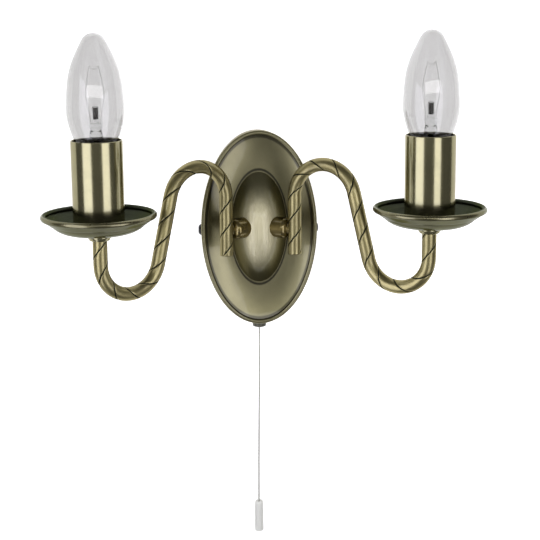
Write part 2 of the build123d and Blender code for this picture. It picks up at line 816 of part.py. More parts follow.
for name, side in sides:
    upright = lamp_profile(side)
    axis = lamp_axis(side)
    with BuildPart() as glass:
        with BuildSketch(upright):
            with BuildLine():
                outer_tip, outer_neck = glass_arcs(0)
                inner_tip, inner_neck = glass_arcs(glass_wall)
                Line(outer_neck, inner_neck)
                Line(outer_tip, inner_tip)
            make_face()
        revolve(axis=axis)
    finish(glass.part, f"{name}_lamp_glass")

    # flared glass stem, fused to the neck, with a shoulder for the lead wires
    stem_shoulder = lamp_top - stem_top - 0.5
    with BuildPart() as stem:
        with BuildSketch(upright):
            with BuildLine():
                Polyline(
                    (0, neck_bottom),
                    (neck_radius - glass_wall - slip, neck_bottom),
                    (neck_radius - glass_wall - slip, neck_bottom + 1),
                    (4.3, neck_bottom + 4),
                    (3.9, stem_shoulder - 6),
                    (3.3, stem_shoulder - 4),
                    (3.9, stem_shoulder - 2),
                    (3.9, stem_shoulder),
                    (2.4, stem_shoulder),
                    (2.3, stem_shoulder + 8.5),
                    (1.6, stem_shoulder + 10),
                    (0, stem_shoulder + 10.4),
                    close=True,
                )
            make_face()
        revolve(axis=axis)
    finish(stem.part, f"{name}_lamp_stem")

    filament_height = lamp_top - filament_drop
    with BuildPart() as leads:
        for hand in (-1, 1):
            with BuildLine(upright):
                FilletPolyline(
                    (hand * lead_foot, stem_shoulder),
                    (hand * lead_foot, stem_shoulder + lead_rise),
                    (hand * lead_spread, stem_shoulder + lead_height),
                    (hand * lead_tip, filament_height),
                    radius=[lead_rise, lead_height / 2.25],
                )
            foot = upright.from_local_coords((hand * lead_foot, stem_shoulder, 0))
            with BuildSketch(Plane(origin=foot, z_dir=(0, 0, 1))):
                Circle(lead_diameter / 2)
            sweep()
    finish(leads.part, f"{name}_lamp_leads")

    with BuildPart() as filament:
        reach = lead_tip - lead_diameter / 2 - slip / 5
        low = filament_height - filament_sag / 2.25
        with BuildLine(upright) as hang:
            ThreePointArc((-reach, low), (0, low - filament_sag), (reach, low))
        with BuildSketch(Plane(origin=hang.line @ 0, z_dir=hang.line % 0)):
            Circle(filament_diameter / 2)
        sweep()
    finish(filament.part, f"{name}_lamp_filament")

    with BuildPart() as cap:
        with BuildSketch(upright):
            with Locations((cap_radius, cap_bottom)):
                Rectangle(cap_wall, cap_top - cap_bottom, align=(Align.MAX, Align.MIN))
            ridge_heights = [cap_bottom + thread_pitch * (index + 0.9) for index in range(thread_ridges)]
            with Locations(*[(cap_radius + cap_wall / 2, z) for z in ridge_heights]):
                Circle(cap_wall, mode=Mode.SUBTRACT)
        revolve(axis=axis)
    finish(cap.part, f"{name}_lamp_cap")

    with BuildPart() as insulator:
        with BuildSketch(upright):
            with BuildLine():
                Polyline(
                    (0, cap_bottom + 1.5),
                    (cap_radius - cap_wall - seat, cap_bottom + 1.5),
                    (cap_radius - cap_wall - seat, cap_bottom),
                    (cap_radius / 2, lamp_foot + 0.8),
                    (0, lamp_foot + 0.8),
                    close=True,
                )
            make_face()
        revolve(axis=axis)
    finish(insulator.part, f"{name}_lamp_insulator")

    with BuildPart() as button:
        with BuildSketch(lamp_plane(side, lamp_foot)):
            Circle(cap_radius / 3)
        extrude(amount=0.8)
        fillet(button.edges().group_by(Axis.Z)[0], 0.5)
    finish(button.part, f"{name}_lamp_contact")

# ---------------------------------------------------------------- pull switch
switch_axis = Plane(origin=(0, -switch_centre, 0), x_dir=(1, 0, 0), z_dir=(0, 0, 1))
switch_back = switch_centre - switch_depth / 2
switch_front = switch_back + switch_depth - switch_cover_sheet
cavity_back = switch_back + switch_wall * 0.8
cavity_x = switch_width / 2 - switch_wall
switch_top = switch_height - inner_b
slider_bottom = slider_rise - inner_b
rotor_height = rotor_rise - inner_b
cavity_floor = slider_bottom - pull_travel - 1.0
cavity_top = switch_top - switch_wall * 0.75
neck_radius_outer = neck_diameter / 2
neck_end = -inner_b - sheet - neck_length
cord_hole = cord_diameter / 2 + 0.5
rotor_radius = rotor_diameter / 2
lead_wire_radius = 0.9
contact_x = rotor_radius + 1.0
contact_wide = 2.0
contact_top = cavity_top

with BuildPart() as switch_space:
    with BuildSketch(wall_front):
        Ellipse(inner_a - slip, inner_b - slip)
    extrude(amount=skirt_depth)

with BuildPart() as switch_housing:
    with BuildSketch(wall_front.offset(switch_back)):
        with Locations((0, switch_top)):
            Rectangle(switch_width, inner_b + switch_top, align=(Align.CENTER, Align.MAX))
    extrude(amount=switch_front - switch_back)
    add(switch_space.part, mode=Mode.INTERSECT)
    with BuildSketch(wall_front.offset(cavity_back)):
        with Locations((0, cavity_top)):
            Rectangle(2 * cavity_x, cavity_top - cavity_floor, align=(Align.CENTER, Align.MAX))
    extrude(amount=switch_front - cavity_back, mode=Mode.SUBTRACT)
    with BuildSketch(wall_front.offset(cavity_back)):
        with Locations((0, rotor_height)):
            Circle(rotor_radius / 3)
    extrude(amount=switch_front - cavity_back)
    with BuildSketch(switch_axis.offset(cavity_floor - switch_wall / 2)):
        Circle(neck_radius_outer)
    extrude(amount=neck_end - cavity_floor + switch_wall / 2)
    with BuildSketch(switch_axis.offset(neck_end)):
        Circle(cord_hole)
    extrude(amount=cavity_floor - neck_end, mode=Mode.SUBTRACT)
    with BuildSketch(switch_axis.offset(cavity_top)):
        with Locations((-contact_x - contact_wide / 2, 0), (contact_x + contact_wide / 2, 0)):
            Circle(lead_wire_radius + slip)
    extrude(amount=switch_top - cavity_top, mode=Mode.SUBTRACT)
finish(switch_housing.part, "switch_housing")

with BuildPart() as switch_cover:
    with BuildSketch(wall_front.offset(switch_front)):
        with Locations((0, switch_top)):
            Rectangle(switch_width, inner_b + switch_top, align=(Align.CENTER, Align.MAX))
    extrude(amount=switch_cover_sheet)
    add(switch_space.part, mode=Mode.INTERSECT)
    chamfer(switch_cover.faces().sort_by(Axis.Y)[0].edges(), switch_cover_sheet / 4)
finish(switch_cover.part, "switch_cover")

slider_top = slider_bottom + slider_height
slider_deep = switch_front - cavity_back - 3 * slip
slider_centre = (switch_front + cavity_back) / 2
pocket_top = slider_top - 2.0
pocket_radius = spring_diameter / 2 + spring_wire / 2 + gap
finger_x = contact_x - slip
with BuildPart() as switch_slider:
    with BuildSketch(Plane(origin=(0, -slider_centre, slider_bottom), x_dir=(1, 0, 0), z_dir=(0, 0, 1))):
        Rectangle(2 * (cavity_x - 2 * slip), slider_deep)
    extrude(amount=slider_height)
    with BuildSketch(switch_axis.offset(slider_bottom)):
        Circle(pocket_radius)
    extrude(amount=pocket_top - slider_bottom, mode=Mode.SUBTRACT)
    with BuildSketch(switch_axis.offset(pocket_top)):
        Circle(cord_diameter / 2 + 2 * slip)
    extrude(amount=slider_top - pocket_top, mode=Mode.SUBTRACT)
    with BuildSketch(switch_axis.offset(slider_top)):
        with Locations((finger_x, 0)):
            Rectangle(contact_wide - 4 * slip, slider_deep / 2, align=(Align.MIN, Align.CENTER))
    extrude(amount=rotor_height - 1.0 - slider_top)
finish(switch_slider.part, "switch_slider")

spring_foot = cavity_floor + spring_wire / 2 + slip / 5
spring_length = pocket_top - cavity_floor - spring_wire - slip / 2.5
with BuildPart() as switch_spring:
    with BuildLine(switch_axis.offset(spring_foot)) as coil:
        Helix(spring_length / spring_turns, spring_length, spring_diameter / 2)
    with BuildSketch(Plane(origin=coil.line @ 0, z_dir=coil.line % 0)):
        Circle(spring_wire / 2)
    sweep()
finish(switch_spring.part, "switch_spring")

rotor_plane = Plane(origin=(0, -cavity_back - slip, rotor_height), x_dir=(1, 0, 0), z_dir=(0, -1, 0))
with BuildPart() as switch_rotor:
    with BuildSketch(rotor_plane):
        Circle(rotor_radius)
        Circle(rotor_radius / 3 + slip, mode=Mode.SUBTRACT)
        with PolarLocations(rotor_radius, 8):
            Circle(rotor_radius / 6, mode=Mode.SUBTRACT)
    extrude(amount=switch_front - cavity_back - 2 * slip)
finish(switch_rotor.part, "switch_rotor")

with BuildPart() as switch_contacts:
    with BuildSketch(switch_axis.offset(contact_top)):
        with Locations((-contact_x - contact_wide / 2, 0), (contact_x + contact_wide / 2, 0)):
            Rectangle(contact_wide, slider_deep / 2)
    extrude(amount=-4.0)
finish(switch_contacts.part, "switch_contacts")

lead_x = contact_x + contact_wide / 2
lead_bend = 60.0
with BuildPart() as switch_leads:
    for side in (-1, 1):
        start = (side * lead_x, -switch_centre, contact_top)
        with BuildLine():
            FilletPolyline(
                start,
                (side * (lead_x + 0.2), -switch_centre, contact_top + 9),
                (side * (lead_x - 1.0), -pole_depth - 0.4, -2),
                (side * pole_xs[-2], -pole_depth, block_bottom - 5),
                (side * pole_xs[-2], -pole_depth, block_bottom + flex_entry),
                radius=[lead_bend, lead_bend, lead_bend / 2],
            )
        with BuildSketch(Plane(origin=start, z_dir=(0, 0, 1))):
            Circle(lead_wire_radius)
        sweep()
finish(switch_leads.part, "switch_leads")

nozzle_top = -skirt_b - seat
nozzle_end = nozzle_top - nozzle_height
mouth_radius = cord_hole + 0.9
with BuildPart() as cord_nozzle:
    with BuildSketch(switch_axis.offset(nozzle_top)):
        Circle(nozzle_diameter / 2)
    with BuildSketch(switch_axis.offset(nozzle_end)):
        Circle(nozzle_end_diameter / 2)
    loft()
    with BuildSketch(switch_axis.offset(nozzle_top)):
        Circle(neck_radius_outer + seat)
    extrude(amount=neck_end - nozzle_top - 2 * slip, mode=Mode.SUBTRACT)
    with BuildSketch(switch_axis.offset(nozzle_top)):
        Circle(cord_hole)
    extrude(amount=-nozzle_height, mode=Mode.SUBTRACT)
    bottom = cord_nozzle.edges().group_by(Axis.Z)[0]
    fillet(bottom.filter_by(lambda edge: edge.radius < mouth_radius), mouth_radius - cord_hole)
    rim = cord_nozzle.edges().filter_by(GeomType.CIRCLE).group_by(Axis.Z)[0]
    fillet(rim.sort_by(lambda edge: edge.radius)[-1], 0.6)
finish(cord_nozzle.part, "cord_nozzle")

# ---------------------------------------------------------------- cord and pull
cord_radius = cord_diameter / 2
with BuildPart() as inner_cord:
    with BuildSketch(switch_axis.offset(nozzle_end + gap)):
        Circle(cord_radius)
    extrude(amount=slider_top - nozzle_end - gap)
    with BuildSketch(switch_axis.offset(slider_top)):
        Circle(knot_diameter / 2)
    extrude(amount=knot_diameter * 0.75)
    fillet(inner_cord.edges().group_by(Axis.Z)[-1], knot_diameter / 4)
finish(inner_cord.part, "inner_cord")

# free cord: it hangs almost straight, drifting a little to the left; each
# place is (across, down from the nozzle)
cord_hang = [
    (0.0, 0.0),
    (-0.15, 14.0),
    (-0.35, 41.0),
    (-1.05, 78.0),
    (-1.55, 106.0),
    (-1.7, 132.35),
]
cord_points = [(across, nozzle_end - down) for across, down in cord_hang]


def bend_radii(points):
    """Arc radii that use nine tenths of the shorter run beside each bend."""
    radii = []
    for before, here, after in zip(points, points[1:], points[2:]):
        run_in = hypot(here[0] - before[0], here[1] - before[1])
        run_out = hypot(after[0] - here[0], after[1] - here[1])
        heading_in = atan2(here[1] - before[1], here[0] - before[0])
        heading_out = atan2(after[1] - here[1], after[0] - here[0])
        half_turn = abs(heading_out - heading_in) / 2
        radii.append(0.45 * min(run_in, run_out) / tan(half_turn))
    return radii


cord_bends = bend_radii(cord_points)
with BuildPart() as pull_cord:
    with BuildLine(wall_front.offset(switch_centre)) as cord_route:
        FilletPolyline(*cord_points, radius=cord_bends)
    with BuildSketch(Plane(origin=cord_route.line @ 0, z_dir=cord_route.line % 0)):
        Circle(cord_radius)
    sweep()
finish(pull_cord.part, "pull_cord")
section = pi * cord_radius**2
print("cord bends", [round(radius) for radius in cord_bends], "length", round(cord_route.wire().length, 2))
print("cord volume", round(pull_cord.part.volume, 2), round(section * cord_route.wire().length, 2))

pull_axis = Plane(origin=(cord_points[-1][0], -switch_centre, cord_points[-1][1]))
with BuildPart() as pull_knot:
    with BuildSketch(pull_axis):
        Circle(knot_diameter / 2)
    extrude(amount=-knot_diameter * 0.75)
    fillet(pull_knot.edges(), knot_diameter / 4)
finish(pull_knot.part, "pull_knot")

with BuildPart() as cord_pull:
    with BuildSketch(pull_axis.offset(pull_roof)):
        Circle(pull_top_diameter / 2)
    with BuildSketch(pull_axis.offset(pull_roof - pull_length)):
        Circle(pull_diameter / 2)
    loft()
    fillet(cord_pull.edges().group_by(Axis.Z)[-1], pull_top_diameter * 0.36)
    with BuildSketch(pull_axis):
        Circle(pull_top_diameter / 2 - pull_wall)
    with BuildSketch(pull_axis.offset(pull_roof - pull_length)):
        Circle(pull_diameter / 2 - pull_wall)
    loft(mode=Mode.SUBTRACT)
    with BuildSketch(pull_axis):
        Circle(cord_radius + 2 * slip)
    extrude(amount=pull_roof, mode=Mode.SUBTRACT)
    fillet(cord_pull.edges().group_by(Axis.Z)[0], 0.25)
finish(cord_pull.part, "cord_pull")
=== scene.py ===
"""Looks of a two-arm candle wall light with a pull-cord switch.

Metres.  The wall is the plane y = 0, the light stands out to -y, +x is to the
right and +z is up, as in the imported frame.  Each piece's place is in its mesh.
"""
import functools
import json
import math

import bmesh
import bpy
from mathutils import Matrix, Vector


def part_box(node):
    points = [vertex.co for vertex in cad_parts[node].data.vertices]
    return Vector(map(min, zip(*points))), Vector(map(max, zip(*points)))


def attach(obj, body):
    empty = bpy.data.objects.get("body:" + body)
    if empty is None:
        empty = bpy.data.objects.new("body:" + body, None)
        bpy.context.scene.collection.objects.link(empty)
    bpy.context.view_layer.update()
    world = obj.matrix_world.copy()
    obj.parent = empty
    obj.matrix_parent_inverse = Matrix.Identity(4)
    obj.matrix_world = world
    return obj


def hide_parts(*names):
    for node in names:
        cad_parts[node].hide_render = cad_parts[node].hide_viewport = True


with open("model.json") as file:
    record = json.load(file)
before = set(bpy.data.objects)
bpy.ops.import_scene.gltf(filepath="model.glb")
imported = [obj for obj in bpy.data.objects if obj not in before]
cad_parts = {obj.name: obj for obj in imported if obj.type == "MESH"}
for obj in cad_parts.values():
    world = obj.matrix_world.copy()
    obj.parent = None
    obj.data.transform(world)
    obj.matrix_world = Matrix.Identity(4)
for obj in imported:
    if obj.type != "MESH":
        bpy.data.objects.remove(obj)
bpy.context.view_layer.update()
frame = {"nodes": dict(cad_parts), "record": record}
SLOTS = {row["node"]: row["material_slot"] for row in frame["record"]["subparts"]}

bl_info = {
    "name": "Candle Wall Light",
    "version": (1, 0, 0),
    "blender": (4, 5, 0),
    "location": "View3D > Sidebar > Wall Light",
    "description": "Builds the finishes and fine pieces of a two-arm candle wall light",
    "category": "Object",
}

MM = 0.001
SIDES = (("left", -1), ("right", 1))

# ------------------------------------------------------------ measured places
TUBE_LOW, TUBE_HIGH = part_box("right_candle_tube")
PAN_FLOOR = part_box("right_pan")[0].z
PLATE_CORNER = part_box("backplate")[1]
COLLAR_LOW, COLLAR_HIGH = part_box("right_collar")
GLASS_LOW, GLASS_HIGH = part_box("right_lamp_glass")
PULL_LOW, PULL_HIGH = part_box("cord_pull")
LAMP_X = (TUBE_LOW.x + TUBE_HIGH.x) / 2
LAMP_Y = (TUBE_LOW.y + TUBE_HIGH.y) / 2
LAMP_TOP = GLASS_HIGH.z
LAMP_RADIUS = (GLASS_HIGH.x - GLASS_LOW.x) / 2
SWITCH_Y = -7.7 * MM
NOZZLE_END = -71.45 * MM

# arm: its upright plane, then arcs and straights in that plane
ARM_ANGLE = math.radians(35.4)
LEG_X = 22.8 * MM
LEG_DEPTH = 34.0 * MM
LEG_END = -14.8 * MM
ARCH_TOP = 46.8 * MM
ARCH_RADIUS = 22.4 * MM
BOW_RADIUS = 21.3 * MM
BOW_BOTTOM = -28.4 * MM
ARM_REACH = 96.8 * MM
ARM_END = 11.0 * MM
ARM_RADIUS = 4.5 * MM
ARM_BORE = 3.5 * MM
# turn of each arm's first spiral at its inner end, in radians
SPIRAL_START = {"left": 0.28, "right": 0.41}
# rings along the arm, and even columns between its two grooves
RING_STEP = 0.55 * MM
EVEN_COLUMNS = 13

# plate: half axes of the dome's foot and of the middle of the rolled bead
DOME_X = 19.0 * MM
DOME_Z = 38.2 * MM
BEAD_INSET = 3.4 * MM
BEAD_X = PLATE_CORNER.x - BEAD_INSET
BEAD_Z = PLATE_CORNER.z - BEAD_INSET

# glass outline: shares of the way down from the tip, and of the full radius
GLASS_OUTLINE = (
    (0.0532, 0.397),
    (0.1948, 0.706),
    (0.3844, 0.934),
    (0.5714, 1.0),
    (0.7143, 0.934),
    (0.8091, 0.800),
    (0.9026, 0.555),
)
GLASS_HEIGHT = 77.0 * MM
GLASS_WALL = 0.6 * MM
NECK_RADIUS = 6.3 * MM
NECK_DROP = 80.0 * MM

# filament and its support bead, down from the lamp's tip
FILAMENT_DROP = 19.6 * MM
FILAMENT_GAP = 0.75 * MM
FILAMENT_HALF = 2.4 * MM
FILAMENT_SAG = 1.6 * MM
FILAMENT_THICKNESS = 0.32 * MM
SUPPORT_TOP = 44.8 * MM
SUPPORT_FOOT = 51.6 * MM
SUPPORT_RADIUS = 1.2 * MM
SUPPORT_ROUNDING = 0.3 * MM

# free cord: sideways drift and drop below the nozzle of each bend, in mm
CORD_ROUTE = ((0.0, 0.0), (-0.15, 14.0), (-0.35, 41.0), (-1.05, 78.0), (-1.55, 106.0), (-1.7, 132.35))
CORD_LENGTH = 132.36 * MM

# painted shade in the plate's creases and the pan's bowl, the dark tone of the arm's grooves, and the depth
# of fine texture
CREASE_SHADE = (0.03, 0.028, 0.018)
BOWL_SHADE = (0.026, 0.032, 0.024)
GROOVE_DARK = (0.012, 0.016, 0.011)
FINE_DEPTH = 0.02 * MM
GRAIN_DEPTH = 0.3 * MM
WEAVE_DEPTH = 0.12 * MM
DRAW_DEPTH = 0.04 * MM

# stage: the wall's reach from its middle and its gap behind the plate
WALL_REACH = 0.9
WALL_GAP = 3 * MM
WALL_GLOW = 0.94
# soft lights: both ends on plan, low and high edge, radiance and tone
SOFT_LIGHTS = {
    "left_panel": ((-0.256, -0.50), (-0.19, -0.15), -0.33, 0.14, 2.75, (0.97, 0.97, 1.1)),
    "right_panel": ((0.155, -0.594), (0.241, -0.296), -0.33, 0.14, 2.65, (0.97, 0.965, 1.08)),
    "high_bar": ((-0.5, -0.88), (0.5, -0.88), 0.16, 0.25, 5.0, (1.0, 1.0, 1.0)),
}
# camera: place, turns, lens in mm and the framing's shift
CAMERA_PLACE = (-0.0438, -0.7648, 0.145)
CAMERA_PAN = math.radians(-3.93)
CAMERA_PITCH = math.radians(80.5)
CAMERA_ROLL = math.radians(-0.52)
CAMERA_LENS = 74.6
CAMERA_SHIFT = -0.131


# ---------------------------------------------------------------- properties
def length(name, description, default):
    return bpy.props.FloatProperty(
        name=name, description=description, default=default, subtype="DISTANCE", unit="LENGTH", precision=5
    )


def colour(name, description, default):
    return bpy.props.FloatVectorProperty(
        name=name, description=description, default=default, subtype="COLOR", size=3, min=0.0, max=1.0
    )


def share(name, description, default):
    return bpy.props.FloatProperty(
        name=name, description=description, default=default, subtype="FACTOR", min=0.0, max=1.0
    )


class LightSizes(bpy.types.PropertyGroup):
    """Sizes of the pieces that the scene adds to the frame"""

    spiral_pitch: length("Spiral pitch", "Rise of each of the two engraved spirals in a turn", 30.9 * MM)
    spiral_depth: length("Spiral depth", "Depth of the engraved spirals", 0.34 * MM)
    spiral_width: bpy.props.FloatProperty(
        name="Spiral width",
        description="Width of each engraved spiral, round the tube",
        default=math.radians(22),
        subtype="ANGLE",
        unit="ROTATION",
    )
    cord_diameter: length("Cord diameter", "Thickness of the pull cord", 1.4 * MM)
    cord_length: length("Cord length", "Nozzle to the knot in the pull", CORD_LENGTH)
    pull_swell: bpy.props.FloatProperty(
        name="Pull swell", description="Width of the pull against its solid", default=1.1, min=1.0, max=1.2
    )
    flute_depth: length("Flute depth", "Depth of the flutes down the pull", 0.16 * MM)


class LightColours(bpy.types.PropertyGroup):
    """Colours of the finishes"""

    boss_brass: colour("Boss brass", "Browner brass of the turned bosses", (0.19, 0.148, 0.052))
    arm_brass: colour("Arm brass", "Warmer, duller brass of the arm tubes", (0.29, 0.252, 0.118))
    # painted highlight: pale brass laid over the middle of the dome
    worn_brass: colour("Worn brass", "Pale brass painted over the dome's middle as a highlight", (0.58, 0.54, 0.36))
    brass: colour("Antique brass", "Lacquered brass where it is clean", (0.29, 0.268, 0.15))
    patina: colour("Patina", "Darkened brass in hollows", (0.088, 0.08, 0.04))
    new_brass: colour("Plain brass", "Turned brass of the inner fittings", (0.60, 0.44, 0.18))
    steel: colour("Zinc-plated steel", "Bracket and small screws", (0.52, 0.53, 0.54))
    dark_steel: colour("Blackened steel", "Side screws", (0.045, 0.045, 0.05))
    glass: colour("Lamp glass", "Faint smoke of the lamp glass", (0.675, 0.67, 0.665))
    white_plastic: colour("White plastic", "Lampholder, switch and terminal block", (0.74, 0.73, 0.69))
    nozzle: colour("Nozzle plastic", "Olive moulded nozzle", (0.085, 0.085, 0.055))
    cord: colour("Cord", "Braided cotton of the pull cord", (0.80, 0.80, 0.72))
    pull: colour("Pull", "Milky plastic of the pull", (0.90, 0.90, 0.81))
    flex: colour("Flex", "Clear sleeve of the arm's wires", (0.42, 0.38, 0.30))
    room: share("Room light", "Brightness of the dim room in front of the wall", 0.17)


def sizes():
    return bpy.context.scene.wall_light_sizes


def colours():
    return bpy.context.scene.wall_light_colours


def tone_of(key):
    """One of the panel's colours as a plain triple."""
    return tuple(getattr(colours(), key))


# ---------------------------------------------------------------- mesh helpers
def keep_piece(bm, name, body, material, stands_for=()):
    """Turns a bmesh into a smooth finished piece that rides on a body."""
    bmesh.ops.recalc_face_normals(bm, faces=bm.faces)
    for face in bm.faces:
        face.smooth = True
    mesh = bpy.data.meshes.new(name)
    bm.to_mesh(mesh)
    bm.free()
    piece = bpy.data.objects.new(name, mesh)
    bpy.context.scene.collection.objects.link(piece)
    mesh.materials.append(material)
    if stands_for:
        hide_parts(*stands_for)
    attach(piece, body)


def spun(profile, centre, steps):
    """A closed or pole-ended outline of (radius, height) spun about an upright axis."""
    bm = bmesh.new()
    verts = [bm.verts.new((centre[0] + radius, centre[1], height)) for radius, height in profile]
    edges = [bm.edges.new(pair) for pair in zip(verts, verts[1:])]
    bmesh.ops.spin(
        bm,
        geom=verts + edges,
        cent=(centre[0], centre[1], 0),
        axis=(0, 0, 1),
        angle=2 * math.pi,
        steps=steps,
        use_merge=True,
    )
    bmesh.ops.remove_doubles(bm, verts=bm.verts, dist=1e-6)
    return bm


def only(items, kind):
    return [item for item in items if isinstance(item, kind)]


def lamp_centre(side):
    return (side * LAMP_X, LAMP_Y)


# ---------------------------------------------------------------- node helpers
class Nodes:
    """Short names for building a node tree."""

    def __init__(self, tree):
        self.tree = tree

    def add(self, kind, settings=None, **inputs):
        node = self.tree.nodes.new(kind)
        for key, value in (settings or {}).items():
            setattr(node, key, value)
        for key, value in inputs.items():
            self.feed(node, key.replace("_", " "), value)
        return node

    def feed(self, node, key, value):
        socket = node.inputs[int(key)] if key.isdigit() else node.inputs[key]
        if isinstance(value, bpy.types.NodeSocket):
            self.tree.links.new(value, socket)
        elif isinstance(value, (tuple, list)) and len(value) == 3 and socket.type == "RGBA":
            socket.default_value = (*value, 1.0)
        else:
            socket.default_value = value

    def math(self, operation, first, second=0.0, clamp=False):
        node = self.tree.nodes.new("ShaderNodeMath")
        node.operation = operation
        node.use_clamp = clamp
        self.feed(node, "0", first)
        self.feed(node, "1", second)
        return node.outputs[0]

    def plus(self, first, second):
        return self.math("ADD", first, second)

    def minus(self, first, second):
        return self.math("SUBTRACT", first, second)

    def times(self, first, second):
        return self.math("MULTIPLY", first, second)

    def larger(self, first, second):
        return self.math("MAXIMUM", first, second)

    def reach(self, first, second):
        """Distance that two offsets at a right angle make."""
        return self.math("SQRT", self.plus(self.math("POWER", first, 2.0), self.math("POWER", second, 2.0)))

    def ramp(self, value, low, high, start=0.0, end=1.0, smooth=True):
        node = self.tree.nodes.new("ShaderNodeMapRange")
        node.interpolation_type = "SMOOTHSTEP" if smooth else "LINEAR"
        for index, item in enumerate((value, low, high, start, end)):
            self.feed(node, str(index), item)
        return node.outputs[0]

    def mix(self, factor, first, second):
        node = self.tree.nodes.new("ShaderNodeMix")
        node.data_type = "RGBA"
        self.feed(node, "0", factor)
        for index, value in ((6, first), (7, second)):
            if isinstance(value, bpy.types.NodeSocket):
                self.tree.links.new(value, node.inputs[index])
            else:
                node.inputs[index].default_value = (*value[:3], 1.0)
        return node.outputs[2]

    def noise(self, vector, scale, detail=3.0, rough=0.55):
        node = self.add("ShaderNodeTexNoise", Vector=vector, Scale=scale, Detail=detail, Roughness=rough)
        return node.outputs["Fac"]

    def spread(self, vector, scale):
        node = self.add("ShaderNodeMapping", Vector=vector)
        node.inputs["Scale"].default_value = scale
        return node.outputs[0]


FLOAT = "NodeSocketFloat"
COLOUR = "NodeSocketColor"


def new_group(name, inputs, outputs):
    """A shader node group with named sockets."""
    group = bpy.data.node_groups.new(name, "ShaderNodeTree")
    for label, kind, default in inputs:
        socket = group.interface.new_socket(name=label, in_out="INPUT", socket_type=kind)
        socket.default_value = (*default, 1.0) if kind == COLOUR else default
    for label, kind in outputs:
        group.interface.new_socket(name=label, in_out="OUTPUT", socket_type=kind)
    nodes = Nodes(group)
    return group, nodes, nodes.add("NodeGroupInput").outputs, nodes.add("NodeGroupOutput")


def tarnish_group():
    """Cloudy colour change, small specks and fine pits of an old lacquered metal."""
    name = "Cloudy tarnish"
    if name in bpy.data.node_groups:
        return bpy.data.node_groups[name]
    group, nodes, given, out = new_group(
        name,
        [
            ("Clean", COLOUR, (0.3, 0.26, 0.16)),
            ("Dark", COLOUR, (0.09, 0.08, 0.05)),
            ("Cloud scale", FLOAT, 60.0),
            ("Cloud", FLOAT, 0.3),
            ("Specks", FLOAT, 0.4),
            ("Smooth", FLOAT, 0.16),
            ("Dull", FLOAT, 0.34),
        ],
        [("Colour", COLOUR), ("Roughness", FLOAT), ("Height", FLOAT)],
    )
    place = nodes.add("ShaderNodeTexCoord").outputs["Object"]
    cloud = nodes.ramp(nodes.noise(place, given["Cloud scale"], 5.0, 0.6), 0.35, 0.68)
    cloud = nodes.times(cloud, given["Cloud"])
    speck_noise = nodes.noise(place, 900.0, 2.0, 0.5)
    specks = nodes.times(nodes.ramp(speck_noise, 0.66, 0.74), given["Specks"])
    dark = nodes.larger(cloud, specks)
    nodes.feed(out, "Colour", nodes.mix(dark, given["Clean"], given["Dark"]))
    smear = nodes.noise(nodes.spread(place, (1.0, 1.0, 0.25)), 160.0, 4.0, 0.6)
    duller = nodes.plus(nodes.times(smear, 0.7), nodes.times(dark, 0.8))
    rough = nodes.ramp(duller, 0.15, 0.95, given["Smooth"], given["Dull"])
    nodes.feed(out, "Roughness", rough)
    nodes.feed(out, "Height", nodes.minus(smear, nodes.times(specks, 0.6)))
    return group


def grain_group():
    """Fine drawn or turned lines: noise stretched along an axis."""
    name = "Drawn grain"
    if name in bpy.data.node_groups:
        return bpy.data.node_groups[name]
    group, nodes, given, out = new_group(
        name,
        [("Across", FLOAT, 2500.0), ("Along", FLOAT, 40.0), ("Upright", FLOAT, 1.0)],
        [("Lines", FLOAT)],
    )
    place = nodes.add("ShaderNodeTexCoord").outputs["Object"]
    parts = nodes.add("ShaderNodeSeparateXYZ", Vector=place)
    upright = nodes.math("GREATER_THAN", given["Upright"], 0.5)
    flat_scale = nodes.ramp(upright, 0.0, 1.0, given["Along"], given["Across"], smooth=False)
    tall_scale = nodes.ramp(upright, 0.0, 1.0, given["Across"], given["Along"], smooth=False)
    joined = nodes.add(
        "ShaderNodeCombineXYZ",
        X=nodes.times(parts.outputs["X"], flat_scale),
        Y=nodes.times(parts.outputs["Y"], flat_scale),
        Z=nodes.times(parts.outputs["Z"], tall_scale),
    )
    nodes.feed(out, "Lines", nodes.noise(joined.outputs[0], 1.0, 2.0, 0.6))
    return group


def cleared_nodes(owner):
    """The emptied node tree of a material or a world."""
    owner.use_nodes = True
    owner.node_tree.nodes.clear()
    return Nodes(owner.node_tree)


def new_material(name):
    material = bpy.data.materials.new(name)
    nodes = cleared_nodes(material)
    shader = nodes.add("ShaderNodeBsdfPrincipled")
    nodes.add("ShaderNodeOutputMaterial", Surface=shader.outputs[0])
    return material, nodes, shader


def made_once(make):
    """Gives back the finish of that name when it is there already."""

    @functools.wraps(make)
    def finish(name, *values, **settings):
        return bpy.data.materials.get(name) or make(name, *values, **settings)

    return finish


def place_group(nodes, group, **values):
    node = nodes.tree.nodes.new("ShaderNodeGroup")
    node.node_tree = group
    for key, value in values.items():
        nodes.feed(node, key.replace("_", " "), value)
    return node


def bump(nodes, shader, height, distance, strength, under=None):
    """Feeds a bump to a shader, over another bump where one is given."""
    node = nodes.add("ShaderNodeBump", Height=height, Distance=distance, Strength=strength)
    if under is not None:
        nodes.feed(node, "Normal", under)
    nodes.feed(shader, "Normal", node.outputs[0])
    return node.outputs[0]


# ---------------------------------------------------------------- finishes
def tarnished(nodes, shader, clean, dark, cloud, specks, smooth, dull, scale):
    """Feeds the cloudy tarnish to a shader, and gives its node."""
    tarnish = place_group(
        nodes,
        tarnish_group(),
        Clean=clean,
        Dark=dark,
        Cloud=cloud,
        Specks=specks,
        Smooth=smooth,
        Dull=dull,
        Cloud_scale=scale,
    )
    nodes.feed(shader, "Base Color", tarnish.outputs["Colour"])
    nodes.feed(shader, "Roughness", tarnish.outputs["Roughness"])
    return tarnish


